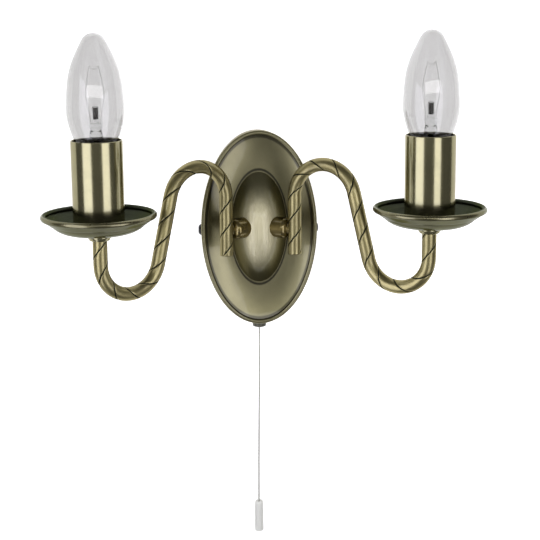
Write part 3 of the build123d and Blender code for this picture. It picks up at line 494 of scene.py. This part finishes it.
def brass_base(name, cloud, smooth, dull, specks=0.35, tone=None):
    """Antique brass under clear lacquer, before a piece's own dark places and painted shade."""
    material, nodes, shader = new_material(name)
    clean = tone or tone_of("brass")
    tarnish = tarnished(nodes, shader, clean, tone_of("patina"), cloud, specks, smooth, dull, 60.0)
    shader.inputs["Metallic"].default_value = 1.0
    shader.inputs["Coat Weight"].default_value = 0.6
    shader.inputs["Coat Roughness"].default_value = 0.06
    shader.inputs["Coat IOR"].default_value = 1.5
    # tarnished metal doesn't turn white at a low angle
    shader.inputs["Specular Tint"].default_value = (0.66, 0.62, 0.48, 1.0)
    return material, nodes, shader, tarnish


def darken(nodes, shader, tarnish, dark, clean, tone, rougher, coat):
    """Lays a dark tone, rougher and with less coat, over a masked part of a piece: painted shade on the
    pans, the dark grooves on the arms.
    """
    nodes.feed(shader, "Base Color", nodes.mix(dark, clean, tone))
    nodes.feed(shader, "Roughness", nodes.plus(tarnish.outputs["Roughness"], nodes.times(dark, rougher)))
    nodes.feed(shader, "Coat Weight", nodes.times(nodes.minus(1.0, dark), coat))


def object_place(nodes):
    place = nodes.add("ShaderNodeTexCoord").outputs["Object"]
    return place, nodes.add("ShaderNodeSeparateXYZ", Vector=place).outputs


def oval_share(nodes, axes, half_x, half_z):
    """Distance out from the plate's middle, as a share of an oval."""
    return nodes.reach(nodes.math("DIVIDE", axes["X"], half_x), nodes.math("DIVIDE", axes["Z"], half_z))


@made_once
def plate_brass(name):
    """Pressed plate: pale painted highlight over the dome's grained middle, and painted shade in a line
    round the dome and inside the bead.
    """
    material, nodes, shader, tarnish = brass_base(name, cloud=0.14, specks=0.2, smooth=0.34, dull=0.44)
    shader.inputs["Coat Weight"].default_value = 0.35
    _, axes = object_place(nodes)
    dome = oval_share(nodes, axes, DOME_X, DOME_Z)
    bead = oval_share(nodes, axes, BEAD_X, BEAD_Z)
    # thin lines of painted shade where the plate creases round the dome and inside the bead, in front of
    # the skirt
    crease_shade = nodes.times(nodes.ramp(dome, 1.0, 1.035), nodes.ramp(dome, 1.08, 1.05))
    bead_line_shade = nodes.times(nodes.ramp(bead, 0.965, 0.985), nodes.ramp(bead, 1.02, 1.0))
    front = nodes.ramp(axes["Y"], -12.0 * MM, -14.0 * MM)
    dark = nodes.times(nodes.larger(nodes.times(crease_shade, 0.95), nodes.times(bead_line_shade, 0.8)), front)
    # the dome's middle is painted pale as a highlight; the same mask gives its brush lines' roughness and
    # grain
    brushing_and_highlight = nodes.times(nodes.ramp(dome, 0.9, 0.42), front)
    aged = nodes.mix(0.38, tarnish.outputs["Colour"], tone_of("patina"))
    # painted highlight: the pale dome colour laid over the aged brass
    worn = nodes.mix(brushing_and_highlight, aged, tone_of("worn_brass"))
    nodes.feed(shader, "Base Color", nodes.mix(dark, worn, CREASE_SHADE))
    lines = place_group(nodes, grain_group(), Across=1500.0, Along=22.0).outputs["Lines"]
    rougher = nodes.plus(nodes.times(nodes.ramp(lines, 0.35, 0.65), 0.12), 0.13)
    rough = nodes.plus(tarnish.outputs["Roughness"], nodes.times(rougher, brushing_and_highlight))
    nodes.feed(shader, "Roughness", rough)
    soft = bump(nodes, shader, tarnish.outputs["Height"], FINE_DEPTH, 0.5)
    bump(nodes, shader, nodes.times(lines, brushing_and_highlight), GRAIN_DEPTH, 1.0, soft)
    return material


@made_once
def drawn_brass(name, upright=1.0, **settings):
    """Antique brass with fine drawn or turned lines."""
    material, nodes, shader, tarnish = brass_base(name, **settings)
    lines = place_group(nodes, grain_group(), Across=2600.0, Along=30.0, Upright=upright).outputs["Lines"]
    soft = bump(nodes, shader, tarnish.outputs["Height"], FINE_DEPTH, 0.35)
    bump(nodes, shader, lines, FINE_DEPTH, 0.35, soft)
    return material


@made_once
def pan_brass(name):
    """Drip pan: bright rim, and painted shade in the bowl and on the duller underside."""
    material, nodes, shader, tarnish = brass_base(name, cloud=0.3, specks=0.4, smooth=0.24, dull=0.38)
    shader.inputs["Specular Tint"].default_value = (0.46, 0.48, 0.38, 1.0)
    _, axes = object_place(nodes)
    from_x = nodes.minus(nodes.math("ABSOLUTE", axes["X"]), LAMP_X)
    out = nodes.reach(from_x, nodes.minus(axes["Y"], LAMP_Y))
    # inside the rolled rim and above the floor
    inside = nodes.times(
        nodes.ramp(out, 34.2 * MM, 33.4 * MM),
        nodes.ramp(axes["Z"], PAN_FLOOR + 0.3 * MM, PAN_FLOOR + 1.0 * MM),
    )
    # faces that look down, which get painted shade
    facing = nodes.add("ShaderNodeNewGeometry").outputs["Normal"]
    below = nodes.ramp(nodes.add("ShaderNodeSeparateXYZ", Vector=facing).outputs["Z"], -0.15, -0.6)
    # painted shade: the bowl inside the rim is darkened, and the faces that look down more faintly
    bowl = nodes.math("MULTIPLY", inside, nodes.minus(0.9, below), clamp=True)
    dark = nodes.larger(bowl, nodes.times(below, 0.42))
    aged = nodes.mix(0.62, tarnish.outputs["Colour"], tone_of("patina"))
    darken(nodes, shader, tarnish, dark, aged, BOWL_SHADE, rougher=0.14, coat=0.5)
    bump(nodes, shader, tarnish.outputs["Height"], FINE_DEPTH, 0.4)
    return material


@made_once
def arm_brass(name):
    """Bent tube with two engraved spirals, darker in their grooves."""
    material, nodes, shader, tarnish = brass_base(
        name, cloud=0.3, specks=0.3, smooth=0.33, dull=0.46, tone=tone_of("arm_brass")
    )
    groove = nodes.add("ShaderNodeAttribute", {"attribute_name": "groove"}).outputs["Fac"]
    dark = nodes.ramp(groove, 0.15, 0.8)
    darken(nodes, shader, tarnish, dark, tarnish.outputs["Colour"], GROOVE_DARK, rougher=0.3, coat=0.3)
    bump(nodes, shader, tarnish.outputs["Height"], FINE_DEPTH, 0.4)
    return material


@made_once
def plain_metal(name, tone, dark, smooth, dull):
    """Bare or plated metal of the small fittings."""
    material, nodes, shader = new_material(name)
    tarnished(nodes, shader, tone, dark, 0.3, 0.25, smooth, dull, 180.0)
    shader.inputs["Metallic"].default_value = 1.0
    lines = place_group(nodes, grain_group(), Across=3000.0, Along=60.0, Upright=0.0).outputs["Lines"]
    bump(nodes, shader, lines, FINE_DEPTH, 0.3)
    return material


@made_once
def moulded(name, tone, rough, subsurface=0.0, transmission=0.0, cloud=0.7):
    """Moulded plastic: faint mottling, fine moulding texture and dust."""
    material, nodes, shader = new_material(name)
    shade = tuple(value * 0.82 for value in tone)
    tarnished(nodes, shader, tone, shade, cloud, cloud * 0.7, rough * 0.85, rough * 1.25, 220.0)
    shader.inputs["IOR"].default_value = 1.49
    if subsurface:
        shader.inputs["Subsurface Weight"].default_value = subsurface
        shader.inputs["Subsurface Radius"].default_value = (0.002, 0.002, 0.002)
        shader.inputs["Subsurface Scale"].default_value = 1.0
    if transmission:
        shader.inputs["Transmission Weight"].default_value = transmission
    place, _ = object_place(nodes)
    bump(nodes, shader, nodes.noise(place, 3500.0, 2.0), FINE_DEPTH, 0.35)
    return material


@made_once
def blown_glass(name, tone):
    """Blown glass with faint draw marks and dust."""
    material, nodes, shader = new_material(name)
    place, _ = object_place(nodes)
    marks = nodes.noise(nodes.spread(place, (1.0, 1.0, 0.3)), 45.0, 2.0, 0.4)
    faint = tuple(value * 0.975 for value in tone)
    nodes.feed(shader, "Base Color", nodes.mix(nodes.ramp(marks, 0.4, 0.65), tone, faint))
    dust = nodes.ramp(nodes.noise(place, 1400.0, 2.0), 0.6, 0.75, 0.0, 0.03)
    nodes.feed(shader, "Roughness", dust)
    shader.inputs["Transmission Weight"].default_value = 1.0
    shader.inputs["IOR"].default_value = 1.36
    bump(nodes, shader, marks, DRAW_DEPTH, 0.15)
    return material


@made_once
def braided(name, tone):
    """Braided cotton: crossing strands with painted shade between them, and a little soil."""
    material, nodes, shader = new_material(name)
    place, _ = object_place(nodes)
    strands = []
    for lean in (1.0, -1.0):
        wave = nodes.add("ShaderNodeTexWave", {"bands_direction": "DIAGONAL"}, Scale=420.0)
        nodes.feed(wave, "Vector", nodes.spread(place, (lean, lean, 0.6)))
        strands.append(wave.outputs["Fac"])
    weave = nodes.larger(*strands)
    soil = nodes.noise(place, 70.0, 4.0)
    dark = tuple(value * 0.55 for value in tone)
    # painted shade: the strands are darker where the weave sinks between them
    shaded_yarn = nodes.mix(nodes.ramp(weave, 0.5, 1.0), dark, tone)
    soiled = nodes.times(nodes.ramp(soil, 0.4, 0.7), 0.25)
    nodes.feed(shader, "Base Color", nodes.mix(soiled, shaded_yarn, dark))
    shader.inputs["Roughness"].default_value = 0.85
    shader.inputs["Sheen Weight"].default_value = 0.2
    bump(nodes, shader, weave, WEAVE_DEPTH, 0.7)
    return material


def lamp_wire():
    return moulded("Lamp wire", (0.86, 0.86, 0.84), 0.3, cloud=0.3)


def milky_pull():
    return moulded("Milky pull", tone_of("pull"), 0.24, subsurface=0.3, cloud=0.12)


def cord_braid():
    return braided("Braided cord", tone_of("cord"))


def finish_nodes(material, *names):
    """Gives CAD nodes their finish."""
    for name in names:
        node = frame["nodes"][name]
        node.data.materials.clear()
        node.data.materials.append(material)


def both(name):
    return [f"{side}_{name}" for side, _ in SIDES]


def slot_nodes(slot):
    """CAD nodes that the record gives to a material slot."""
    return [name for name, given in SLOTS.items() if given == slot]


# ---------------------------------------------------------------- arm route
def arm_route():
    """Length and curve of each run of an arm in its plane, from the inner end."""
    arch = Vector((ARCH_RADIUS, ARCH_TOP - ARCH_RADIUS))
    bow = Vector((ARM_REACH - BOW_RADIUS, BOW_BOTTOM + BOW_RADIUS))
    span = bow - arch
    crossing = math.asin((ARCH_RADIUS + BOW_RADIUS) / span.length)
    heading = math.atan2(span.y, span.x) - crossing
    middle = math.sqrt(span.length**2 - (ARCH_RADIUS + BOW_RADIUS) ** 2)
    turn = math.pi / 2 - heading
    return [
        (arch.y - LEG_END, 0.0),
        (ARCH_RADIUS * turn, -1 / ARCH_RADIUS),
        (middle, 0.0),
        (BOW_RADIUS * turn, 1 / BOW_RADIUS),
        (ARM_END - bow.y, 0.0),
    ]


def along_arm(distance):
    """Place, heading and curve in the arm's plane at a distance from the inner end."""
    place, heading = Vector((0.0, LEG_END)), math.pi / 2
    runs = arm_route()
    for index, (run, curve) in enumerate(runs):
        step = min(distance, run) if index < len(runs) - 1 else distance
        if curve:
            centre = place + Vector((-math.sin(heading), math.cos(heading))) / curve
            heading += step * curve
            place = centre + Vector((math.sin(heading), -math.cos(heading))) / curve
        else:
            place = place + Vector((math.cos(heading), math.sin(heading))) * step
        distance -= step
        if distance <= 0:
            return place, heading, curve
    return place, heading, 0.0


def arm_space(side, place, off_plane):
    """A place in the arm's plane, and a distance out of it, in the frame."""
    out = Vector((side * math.cos(ARM_ANGLE), -math.sin(ARM_ANGLE), 0.0))
    off = Vector((side * math.sin(ARM_ANGLE), math.cos(ARM_ANGLE), 0.0))
    foot = Vector((side * LEG_X, -LEG_DEPTH, 0.0))
    return foot + out * place.x + off * off_plane + Vector((0.0, 0.0, place.y))


def groove_columns(width):
    """Angle and depth share of each column round the tube, close together in two grooves."""
    half = width / 2
    columns = []
    for start in (0.0, math.pi):
        for across, depth in ((-1.0, 0.0), (-0.45, 0.8), (0.0, 1.0), (0.45, 0.8)):
            columns.append((start + half * across, depth))
        for step in range(EVEN_COLUMNS):
            columns.append((start + half + (math.pi - width) * step / EVEN_COLUMNS, 0.0))
    return columns


class MakeArms(bpy.types.Operator):
    """Bent arm tubes, each engraved with two spirals"""

    bl_idname = "wall_light.make_arms"
    bl_label = "Arms"

    def execute(self, context):
        material = arm_brass("Antique brass arm")
        total = sum(run for run, _ in arm_route())
        ahead = 0.1 * MM
        for name, side in SIDES:
            bm = bmesh.new()
            self.wrap_tube(bm, side, total, SPIRAL_START[name])
            self.turn_in_end(bm, side, 0.0, ahead, 12 * MM)
            self.turn_in_end(bm, side, total, -ahead, 6 * MM)
            keep_piece(bm, f"{name}_spiral_arm", "fixture", material, [f"{name}_arm"])
        return {"FINISHED"}

    def wrap_tube(self, bm, side, total, start):
        """Wraps a grid round the arm's route and sinks the two spirals into it."""
        columns = groove_columns(sizes().spiral_width)
        count = len(columns)
        pitch, depth = sizes().spiral_pitch, sizes().spiral_depth
        # the grooves fade out before the tube's ends
        fade_length = 2 * MM
        bmesh.ops.create_grid(bm, x_segments=count, y_segments=round(total / RING_STEP), size=0.5)
        groove = bm.verts.layers.float.new("groove")
        for vert in bm.verts:
            column_angle, share_of_depth = columns[round((vert.co.x + 0.5) * count) % count]
            distance = (vert.co.y + 0.5) * total
            place, heading, curve = along_arm(distance)
            fade = min(1.0, distance / fade_length, (total - distance) / fade_length)
            cut = share_of_depth * max(0.0, fade)
            angle = column_angle - side * 2 * math.pi * distance / pitch + start
            radius = ARM_RADIUS - cut * depth
            # a bend leaves the tube a little flatter
            flat = 0.985 if curve else 1.0
            normal = Vector((-math.sin(heading), math.cos(heading)))
            vert[groove] = cut
            vert.co = arm_space(
                side, place + normal * radius * flat * math.cos(angle), radius * math.sin(angle)
            )
        bmesh.ops.remove_doubles(bm, verts=bm.verts, dist=1e-6)

    def turn_in_end(self, bm, side, distance, ahead, bore):
        """Turns the tube's wall in at an end, with a length of bore behind it."""
        centre = arm_space(side, along_arm(distance)[0], 0.0)
        inward = (arm_space(side, along_arm(distance + ahead)[0], 0.0) - centre).normalized()
        rim = [
            edge
            for edge in bm.edges
            if edge.is_boundary and (edge.verts[0].co - centre).length < ARM_RADIUS * 1.1
        ]
        lip = bmesh.ops.extrude_edge_only(bm, edges=rim)["geom"]
        shrink = Matrix.Scale(ARM_BORE / ARM_RADIUS, 4)
        lip_verts = only(lip, bmesh.types.BMVert)
        bmesh.ops.transform(bm, matrix=shrink, space=Matrix.Translation(-centre), verts=lip_verts)
        deep = bmesh.ops.extrude_edge_only(bm, edges=only(lip, bmesh.types.BMEdge))["geom"]
        bmesh.ops.translate(bm, vec=inward * bore, verts=only(deep, bmesh.types.BMVert))


class MakeCollars(bpy.types.Operator):
    """Turned collars under the pans, with their worn step"""

    bl_idname = "wall_light.make_collars"
    bl_label = "Collars"

    def execute(self, context):
        material = drawn_brass("Antique brass turned", upright=0.0, cloud=0.45, smooth=0.2, dull=0.36)
        full = (COLLAR_HIGH.x - COLLAR_LOW.x) / 2
        # the collar hangs a little lower than its solid and clears the arm
        low, top = COLLAR_LOW.z - 0.6 * MM, COLLAR_HIGH.z
        bore = ARM_RADIUS + 0.12 * MM
        outline = [
            (bore, low),
            (full * 0.82, low),
            (full * 0.90, low + 0.5 * MM),
            (full * 0.91, low + 1.2 * MM),
            (full * 0.99, low + 1.7 * MM),
            (full * 1.02, low + 2.6 * MM),
            (full, top - 0.4 * MM),
            (full * 0.95, top),
            (bore, top),
        ]
        for name, side in SIDES:
            bm = spun(outline + [outline[0]], lamp_centre(side), 64)
            keep_piece(bm, f"{name}_turned_collar", "fixture", material, [f"{name}_collar"])
        return {"FINISHED"}


# ---------------------------------------------------------------- lamps
def tangent_arc(start, end, heading, count):
    """Points on the arc that leaves start along heading and meets end."""
    chord = math.atan2(end[1] - start[1], end[0] - start[0])
    half_turn = chord - heading
    distance = math.hypot(end[0] - start[0], end[1] - start[1])
    points = []
    for step in range(1, count + 1):
        part = step / count
        if abs(half_turn) < 1e-6:
            reach, angle = distance * part, heading
        else:
            reach = distance * math.sin(half_turn * part) / math.sin(half_turn)
            angle = heading + half_turn * part
        points.append((start[0] + reach * math.cos(angle), start[1] + reach * math.sin(angle)))
    return points, heading + 2 * half_turn


def glass_profile(inset):
    """Outline of the lamp glass from its tip down to the neck, moved in by inset."""
    outline = [(LAMP_RADIUS * out, LAMP_TOP - GLASS_HEIGHT * down) for down, out in GLASS_OUTLINE]
    outline.append((NECK_RADIUS, LAMP_TOP - NECK_DROP))
    here, heading = (0.0, LAMP_TOP), 0.0
    points, headings = [here], [heading]
    steps = 8
    for there in outline:
        arc, end_heading = tangent_arc(here, there, heading, steps)
        points += arc
        headings += [heading + (end_heading - heading) * (step + 1) / steps for step in range(steps)]
        here, heading = there, end_heading
    return [
        (max(0.0, radius + inset * math.sin(angle)), height - inset * math.cos(angle))
        for (radius, height), angle in zip(points, headings)
    ]


class MakeLampGlass(bpy.types.Operator):
    """Blown glass of the candle lamps, with a real wall"""

    bl_idname = "wall_light.make_lamp_glass"
    bl_label = "Lamp glass"

    def execute(self, context):
        material = blown_glass("Smoked lamp glass", tone_of("glass"))
        outer, inner = glass_profile(0.0), glass_profile(GLASS_WALL)
        profile = outer + inner[::-1]
        for name, side in SIDES:
            bm = spun(profile, lamp_centre(side), 80)
            keep_piece(
                bm, f"{name}_blown_glass", f"{name}_bulb", material, [f"{name}_lamp_glass"]
            )
        return {"FINISHED"}


def round_wire(name, points, thickness, roundness, smoothness):
    """A round wire along points, as a curve object."""
    curve = bpy.data.curves.new(name, "CURVE")
    curve.dimensions = "3D"
    curve.bevel_depth = thickness / 2
    curve.bevel_resolution = roundness
    curve.resolution_u = smoothness
    curve.use_fill_caps = True
    line = curve.splines.new("NURBS")
    line.points.add(len(points) - 1)
    for point, place in zip(line.points, points):
        point.co = (*place, 1.0)
    line.order_u = 3
    line.use_endpoint_u = True
    wire = bpy.data.objects.new(name, curve)
    bpy.context.scene.collection.objects.link(wire)
    return wire


def wire_mesh(name, points, thickness):
    """A fine wire along points, as a bmesh."""
    wire = round_wire(name, points, thickness, 3, 8)
    curve = wire.data
    bpy.context.view_layer.update()
    bm = bmesh.new()
    bm.from_mesh(wire.to_mesh())
    wire.to_mesh_clear()
    bpy.data.objects.remove(wire)
    bpy.data.curves.remove(curve)
    bmesh.ops.remove_doubles(bm, verts=bm.verts, dist=1e-7)
    return bm


class MakeFilaments(bpy.types.Operator):
    """Two sagging filament wires and a dark support bead in each lamp"""

    bl_idname = "wall_light.make_filaments"
    bl_label = "Filaments"

    def execute(self, context):
        wire = lamp_wire()
        core = moulded("Dark glass bead", (0.05, 0.04, 0.035), 0.3)
        steps = 12
        for name, side in SIDES:
            x, y = lamp_centre(side)
            body = f"{name}_bulb"
            for index, stands_for in enumerate(([f"{name}_lamp_filament"], ())):
                top = LAMP_TOP - FILAMENT_DROP - FILAMENT_GAP * index
                points = []
                for step in range(steps + 1):
                    across = step / steps * 2 - 1
                    sag = FILAMENT_SAG * (1 - across * across)
                    points.append((x + FILAMENT_HALF * across, y, top - sag))
                piece = f"{name}_filament_{index + 1}"
                bm = wire_mesh(piece, points, FILAMENT_THICKNESS)
                keep_piece(bm, piece, body, wire, stands_for)
            low, high = LAMP_TOP - SUPPORT_FOOT, LAMP_TOP - SUPPORT_TOP
            profile = [
                (0.0, high),
                (SUPPORT_RADIUS - SUPPORT_ROUNDING, high),
                (SUPPORT_RADIUS, high - SUPPORT_ROUNDING),
                (SUPPORT_RADIUS, low + SUPPORT_ROUNDING),
                (SUPPORT_RADIUS - SUPPORT_ROUNDING, low),
                (0.0, low),
            ]
            bm = spun(profile, (x, y), 24)
            keep_piece(bm, f"{name}_support_bead", body, core)
        return {"FINISHED"}


# ---------------------------------------------------------------- cord and pull
class MakeCord(bpy.types.Operator):
    """Free pull cord from the nozzle to the pull"""

    bl_idname = "wall_light.make_cord"
    bl_label = "Cord"

    def execute(self, context):
        stretch = sizes().cord_length / CORD_LENGTH
        points = [
            (across * MM, SWITCH_Y, NOZZLE_END - down * MM * stretch) for across, down in CORD_ROUTE
        ]
        cord = round_wire("free_cord", points, sizes().cord_diameter, 5, 16)
        cord.data.materials.append(cord_braid())
        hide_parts("pull_cord")
        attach(cord, "hanging_pull")
        return {"FINISHED"}


class MakePull(bpy.types.Operator):
    """Fluted milky pull on the end of the cord"""

    bl_idname = "wall_light.make_pull"
    bl_label = "Pull"

    def execute(self, context):
        centre = ((PULL_LOW.x + PULL_HIGH.x) / 2, (PULL_LOW.y + PULL_HIGH.y) / 2)
        top, low = PULL_HIGH.z, PULL_LOW.z
        full = (PULL_HIGH.x - PULL_LOW.x) / 2 * sizes().pull_swell
        bm = spun(self.outline(full, top, low), centre, 60)
        # flutes run between the top's rounding and the thicker foot
        flutes = 15
        for vert in bm.verts:
            flat = Vector((vert.co.x - centre[0], vert.co.y - centre[1]))
            if low + 1.5 * MM < vert.co.z < top - 0.5 * MM and flat.length > full * 0.9:
                wave = 0.5 - 0.5 * math.cos(math.atan2(flat.y, flat.x) * flutes)
                flat *= 1 - wave * sizes().flute_depth / flat.length
                vert.co.x, vert.co.y = centre[0] + flat.x, centre[1] + flat.y
        keep_piece(bm, "fluted_pull", "hanging_pull", milky_pull(), ["cord_pull"])
        return {"FINISHED"}

    def outline(self, full, top, low):
        """Closed outline of the hollow pull: down its outside, up its inside to the cord's hole."""
        tall = top - low
        hole, wall, roof = 1.0 * MM, 0.75 * MM, 2.5 * MM
        return [
            (hole, top - 0.3 * MM),
            (hole + 0.4 * MM, top),
            (full * 0.72, top),
            (full * 0.90, top - 0.7 * MM),
            (full * 0.94, top - 2.0 * MM),
            (full * 0.955, top - tall * 0.3),
            (full * 0.97, top - tall * 0.6),
            (full * 0.985, low + 1.6 * MM),
            (full * 0.93, low + 1.3 * MM),
            (full, low + 0.8 * MM),
            (full * 0.985, low + 0.1 * MM),
            (full - wall * 0.6, low),
            (full - wall, low + 0.2 * MM),
            (full - wall, top - roof - 1.0 * MM),
            (full - wall * 1.6, top - roof),
            (hole, top - roof),
            (hole, top - 0.3 * MM),
        ]


# ---------------------------------------------------------------- frame pieces
class FinishBrass(bpy.types.Operator):
    """Antique brass of the plate, candle tubes, bosses and pans"""

    bl_idname = "wall_light.finish_brass"
    bl_label = "Brass pieces"

    def execute(self, context):
        tube = drawn_brass("Antique brass tube", cloud=0.18, specks=0.25, smooth=0.16, dull=0.27)
        boss = drawn_brass(
            "Brown brass boss", upright=0.0, cloud=0.3, smooth=0.26, dull=0.4, tone=tone_of("boss_brass")
        )
        finish_nodes(plate_brass("Antique brass plate"), "backplate")
        finish_nodes(tube, *both("candle_tube"))
        finish_nodes(boss, *both("boss"))
        finish_nodes(pan_brass("Antique brass pan"), *both("pan"))
        return {"FINISHED"}


class FinishFittings(bpy.types.Operator):
    """Metals of the bracket, nuts, nipples, screws, contacts and lamp caps"""

    bl_idname = "wall_light.finish_fittings"
    bl_label = "Metal fittings"

    def execute(self, context):
        for slot, name, tone, dark, smooth, dull in (
            ("plain_brass", "Plain brass", tone_of("new_brass"), (0.28, 0.2, 0.09), 0.22, 0.42),
            ("zinc_steel", "Zinc-plated steel", tone_of("steel"), (0.3, 0.3, 0.29), 0.28, 0.45),
            ("dark_steel", "Blackened steel", tone_of("dark_steel"), (0.02, 0.02, 0.022), 0.3, 0.5),
            ("spring_steel", "Spring steel", (0.45, 0.45, 0.46), (0.2, 0.2, 0.2), 0.2, 0.35),
            ("lamp_cap_metal", "Lamp cap", (0.66, 0.65, 0.62), (0.4, 0.38, 0.33), 0.25, 0.4),
        ):
            finish_nodes(plain_metal(name, tone, dark, smooth, dull), *slot_nodes(slot))
        return {"FINISHED"}


class FinishPlastics(bpy.types.Operator):
    """Plastics, sleeves, lamp wires, glass stems and cords of the inner pieces"""

    bl_idname = "wall_light.finish_plastics"
    bl_label = "Plastics and sleeves"

    def execute(self, context):
        for slot, material in (
            ("lamp_wire", lamp_wire()),
            ("white_plastic", moulded("White plastic", tone_of("white_plastic"), 0.36, subsurface=0.1)),
            ("nozzle_plastic", moulded("Nozzle plastic", tone_of("nozzle"), 0.34)),
            ("clear_sleeving", moulded("Flex sleeve", tone_of("flex"), 0.25, transmission=0.2)),
            ("black_insulator", moulded("Black insulator", (0.03, 0.03, 0.032), 0.3)),
            ("lamp_glass", blown_glass("Clear stem glass", (0.93, 0.94, 0.94))),
            ("cord_braid", cord_braid()),
            ("pull_plastic", milky_pull()),
        ):
            finish_nodes(material, *slot_nodes(slot))
        return {"FINISHED"}


# ---------------------------------------------------------------- stage
class MakeStage(bpy.types.Operator):
    """White wall, two tall soft lights and a high bar, the dim room and the camera"""

    bl_idname = "wall_light.make_stage"
    bl_label = "Stage"

    def execute(self, context):
        scene = context.scene
        scene.view_settings.view_transform = "Standard"
        self.make_wall(scene)
        self.make_room(scene)
        for name, values in SOFT_LIGHTS.items():
            self.make_light(scene, name, *values)
        self.make_camera(scene)
        return {"FINISHED"}

    def make_wall(self, scene):
        bm = bmesh.new()
        bmesh.ops.create_grid(bm, x_segments=1, y_segments=1, size=WALL_REACH)
        turn = Matrix.Translation((0, WALL_GAP, 0)) @ Matrix.Rotation(math.pi / 2, 4, "X")
        bmesh.ops.transform(bm, matrix=turn, verts=bm.verts)
        mesh = bpy.data.meshes.new("wall")
        bm.to_mesh(mesh)
        bm.free()
        mesh.materials.append(self.wall_paint())
        wall = bpy.data.objects.new("wall", mesh)
        scene.collection.objects.link(wall)

    def wall_paint(self):
        """White paint that shows as white wherever it is seen, and is clear from behind."""
        material = bpy.data.materials.new("White wall")
        nodes = cleared_nodes(material)
        path = nodes.add("ShaderNodeLightPath").outputs
        seen = nodes.larger(path["Is Camera Ray"], path["Is Glossy Ray"])
        seen = nodes.larger(seen, path["Is Transmission Ray"])
        paint = nodes.add("ShaderNodeBsdfDiffuse", Color=(0.8, 0.8, 0.8))
        glow = nodes.add(
            "ShaderNodeEmission", Color=(1.0, 1.0, 1.0), Strength=nodes.times(seen, WALL_GLOW)
        )
        lit = nodes.add("ShaderNodeAddShader", **{"0": paint.outputs[0], "1": glow.outputs[0]})
        clear = nodes.add("ShaderNodeBsdfTransparent").outputs[0]
        back = nodes.add("ShaderNodeNewGeometry").outputs["Backfacing"]
        either = nodes.add("ShaderNodeMixShader", **{"0": back, "1": lit.outputs[0], "2": clear})
        nodes.add("ShaderNodeOutputMaterial", Surface=either.outputs[0])
        return material

    def make_room(self, scene):
        """A dim room for the light and its reflections, and white for what is seen past it."""
        world = bpy.data.worlds.new("Dim room")
        nodes = cleared_nodes(world)
        path = nodes.add("ShaderNodeLightPath").outputs
        seen = nodes.larger(path["Is Camera Ray"], path["Is Transmission Ray"])
        room = colours().room
        tone = nodes.mix(seen, (room, room, room * 0.97), (1.0, 1.0, 1.0))
        back = nodes.add("ShaderNodeBackground", Color=tone, Strength=1.0)
        nodes.add("ShaderNodeOutputWorld", Surface=back.outputs[0])
        scene.world = world

    def make_light(self, scene, name, start, end, low, high, radiance, tone):
        """An upright soft light over two places on plan, facing the wall light."""
        first, last = Vector((*start, 0.0)), Vector((*end, 0.0))
        wide, tall = (last - first).length, high - low
        data = bpy.data.lights.new(name, "AREA")
        data.shape = "RECTANGLE"
        data.size, data.size_y = wide, tall
        data.energy = radiance * math.pi * wide * tall
        data.color = tone
        lamp = bpy.data.objects.new(name, data)
        middle = (first + last) / 2
        middle.z = (low + high) / 2
        upright = Vector((0, 0, 1))
        facing = upright.cross((last - first).normalized())
        if facing.dot(-middle) < 0:
            facing = -facing
        # an area light shines down its own -Z
        turn = Matrix((upright.cross(-facing), upright, -facing)).transposed().to_4x4()
        lamp.matrix_world = Matrix.Translation(middle) @ turn
        lamp.visible_camera = False
        scene.collection.objects.link(lamp)

    def make_camera(self, scene):
        data = bpy.data.cameras.new("camera")
        data.lens = CAMERA_LENS
        data.sensor_width = 36.0
        data.shift_y = CAMERA_SHIFT
        data.clip_start = 0.01
        camera = bpy.data.objects.new("camera", data)
        turn = (
            Matrix.Rotation(CAMERA_PAN, 4, "Z")
            @ Matrix.Rotation(CAMERA_PITCH, 4, "X")
            @ Matrix.Rotation(CAMERA_ROLL, 4, "Z")
        )
        camera.matrix_world = Matrix.Translation(CAMERA_PLACE) @ turn
        scene.collection.objects.link(camera)
        scene.camera = camera


class WallLightPanel(bpy.types.Panel):
    """Sizes, colours and pieces of the wall light"""

    bl_idname = "VIEW3D_PT_wall_light"
    bl_label = "Wall Light"
    bl_space_type = "VIEW_3D"
    bl_region_type = "UI"
    bl_category = "Wall Light"

    def draw(self, context):
        layout = self.layout
        for group in (sizes(), colours()):
            box = layout.box()
            for key in group.__annotations__:
                box.prop(group, key)
        for operator in OPERATORS:
            layout.operator(operator.bl_idname)


OPERATORS = (
    FinishBrass,
    FinishFittings,
    FinishPlastics,
    MakeArms,
    MakeCollars,
    MakeLampGlass,
    MakeFilaments,
    MakePull,
    MakeCord,
    MakeStage,
)
CLASSES = (LightSizes, LightColours, *OPERATORS, WallLightPanel)


def register():
    for item in CLASSES:
        bpy.utils.register_class(item)
    bpy.types.Scene.wall_light_sizes = bpy.props.PointerProperty(type=LightSizes)
    bpy.types.Scene.wall_light_colours = bpy.props.PointerProperty(type=LightColours)


def unregister():
    del bpy.types.Scene.wall_light_colours
    del bpy.types.Scene.wall_light_sizes
    for item in reversed(CLASSES):
        bpy.utils.unregister_class(item)


def main():
    register()
    bpy.ops.wall_light.finish_brass()
    bpy.ops.wall_light.finish_fittings()
    bpy.ops.wall_light.finish_plastics()
    bpy.ops.wall_light.make_arms()
    bpy.ops.wall_light.make_collars()
    bpy.ops.wall_light.make_lamp_glass()
    bpy.ops.wall_light.make_filaments()
    bpy.ops.wall_light.make_pull()
    bpy.ops.wall_light.make_cord()
    bpy.ops.wall_light.make_stage()


if __name__ == "__main__":
    main()
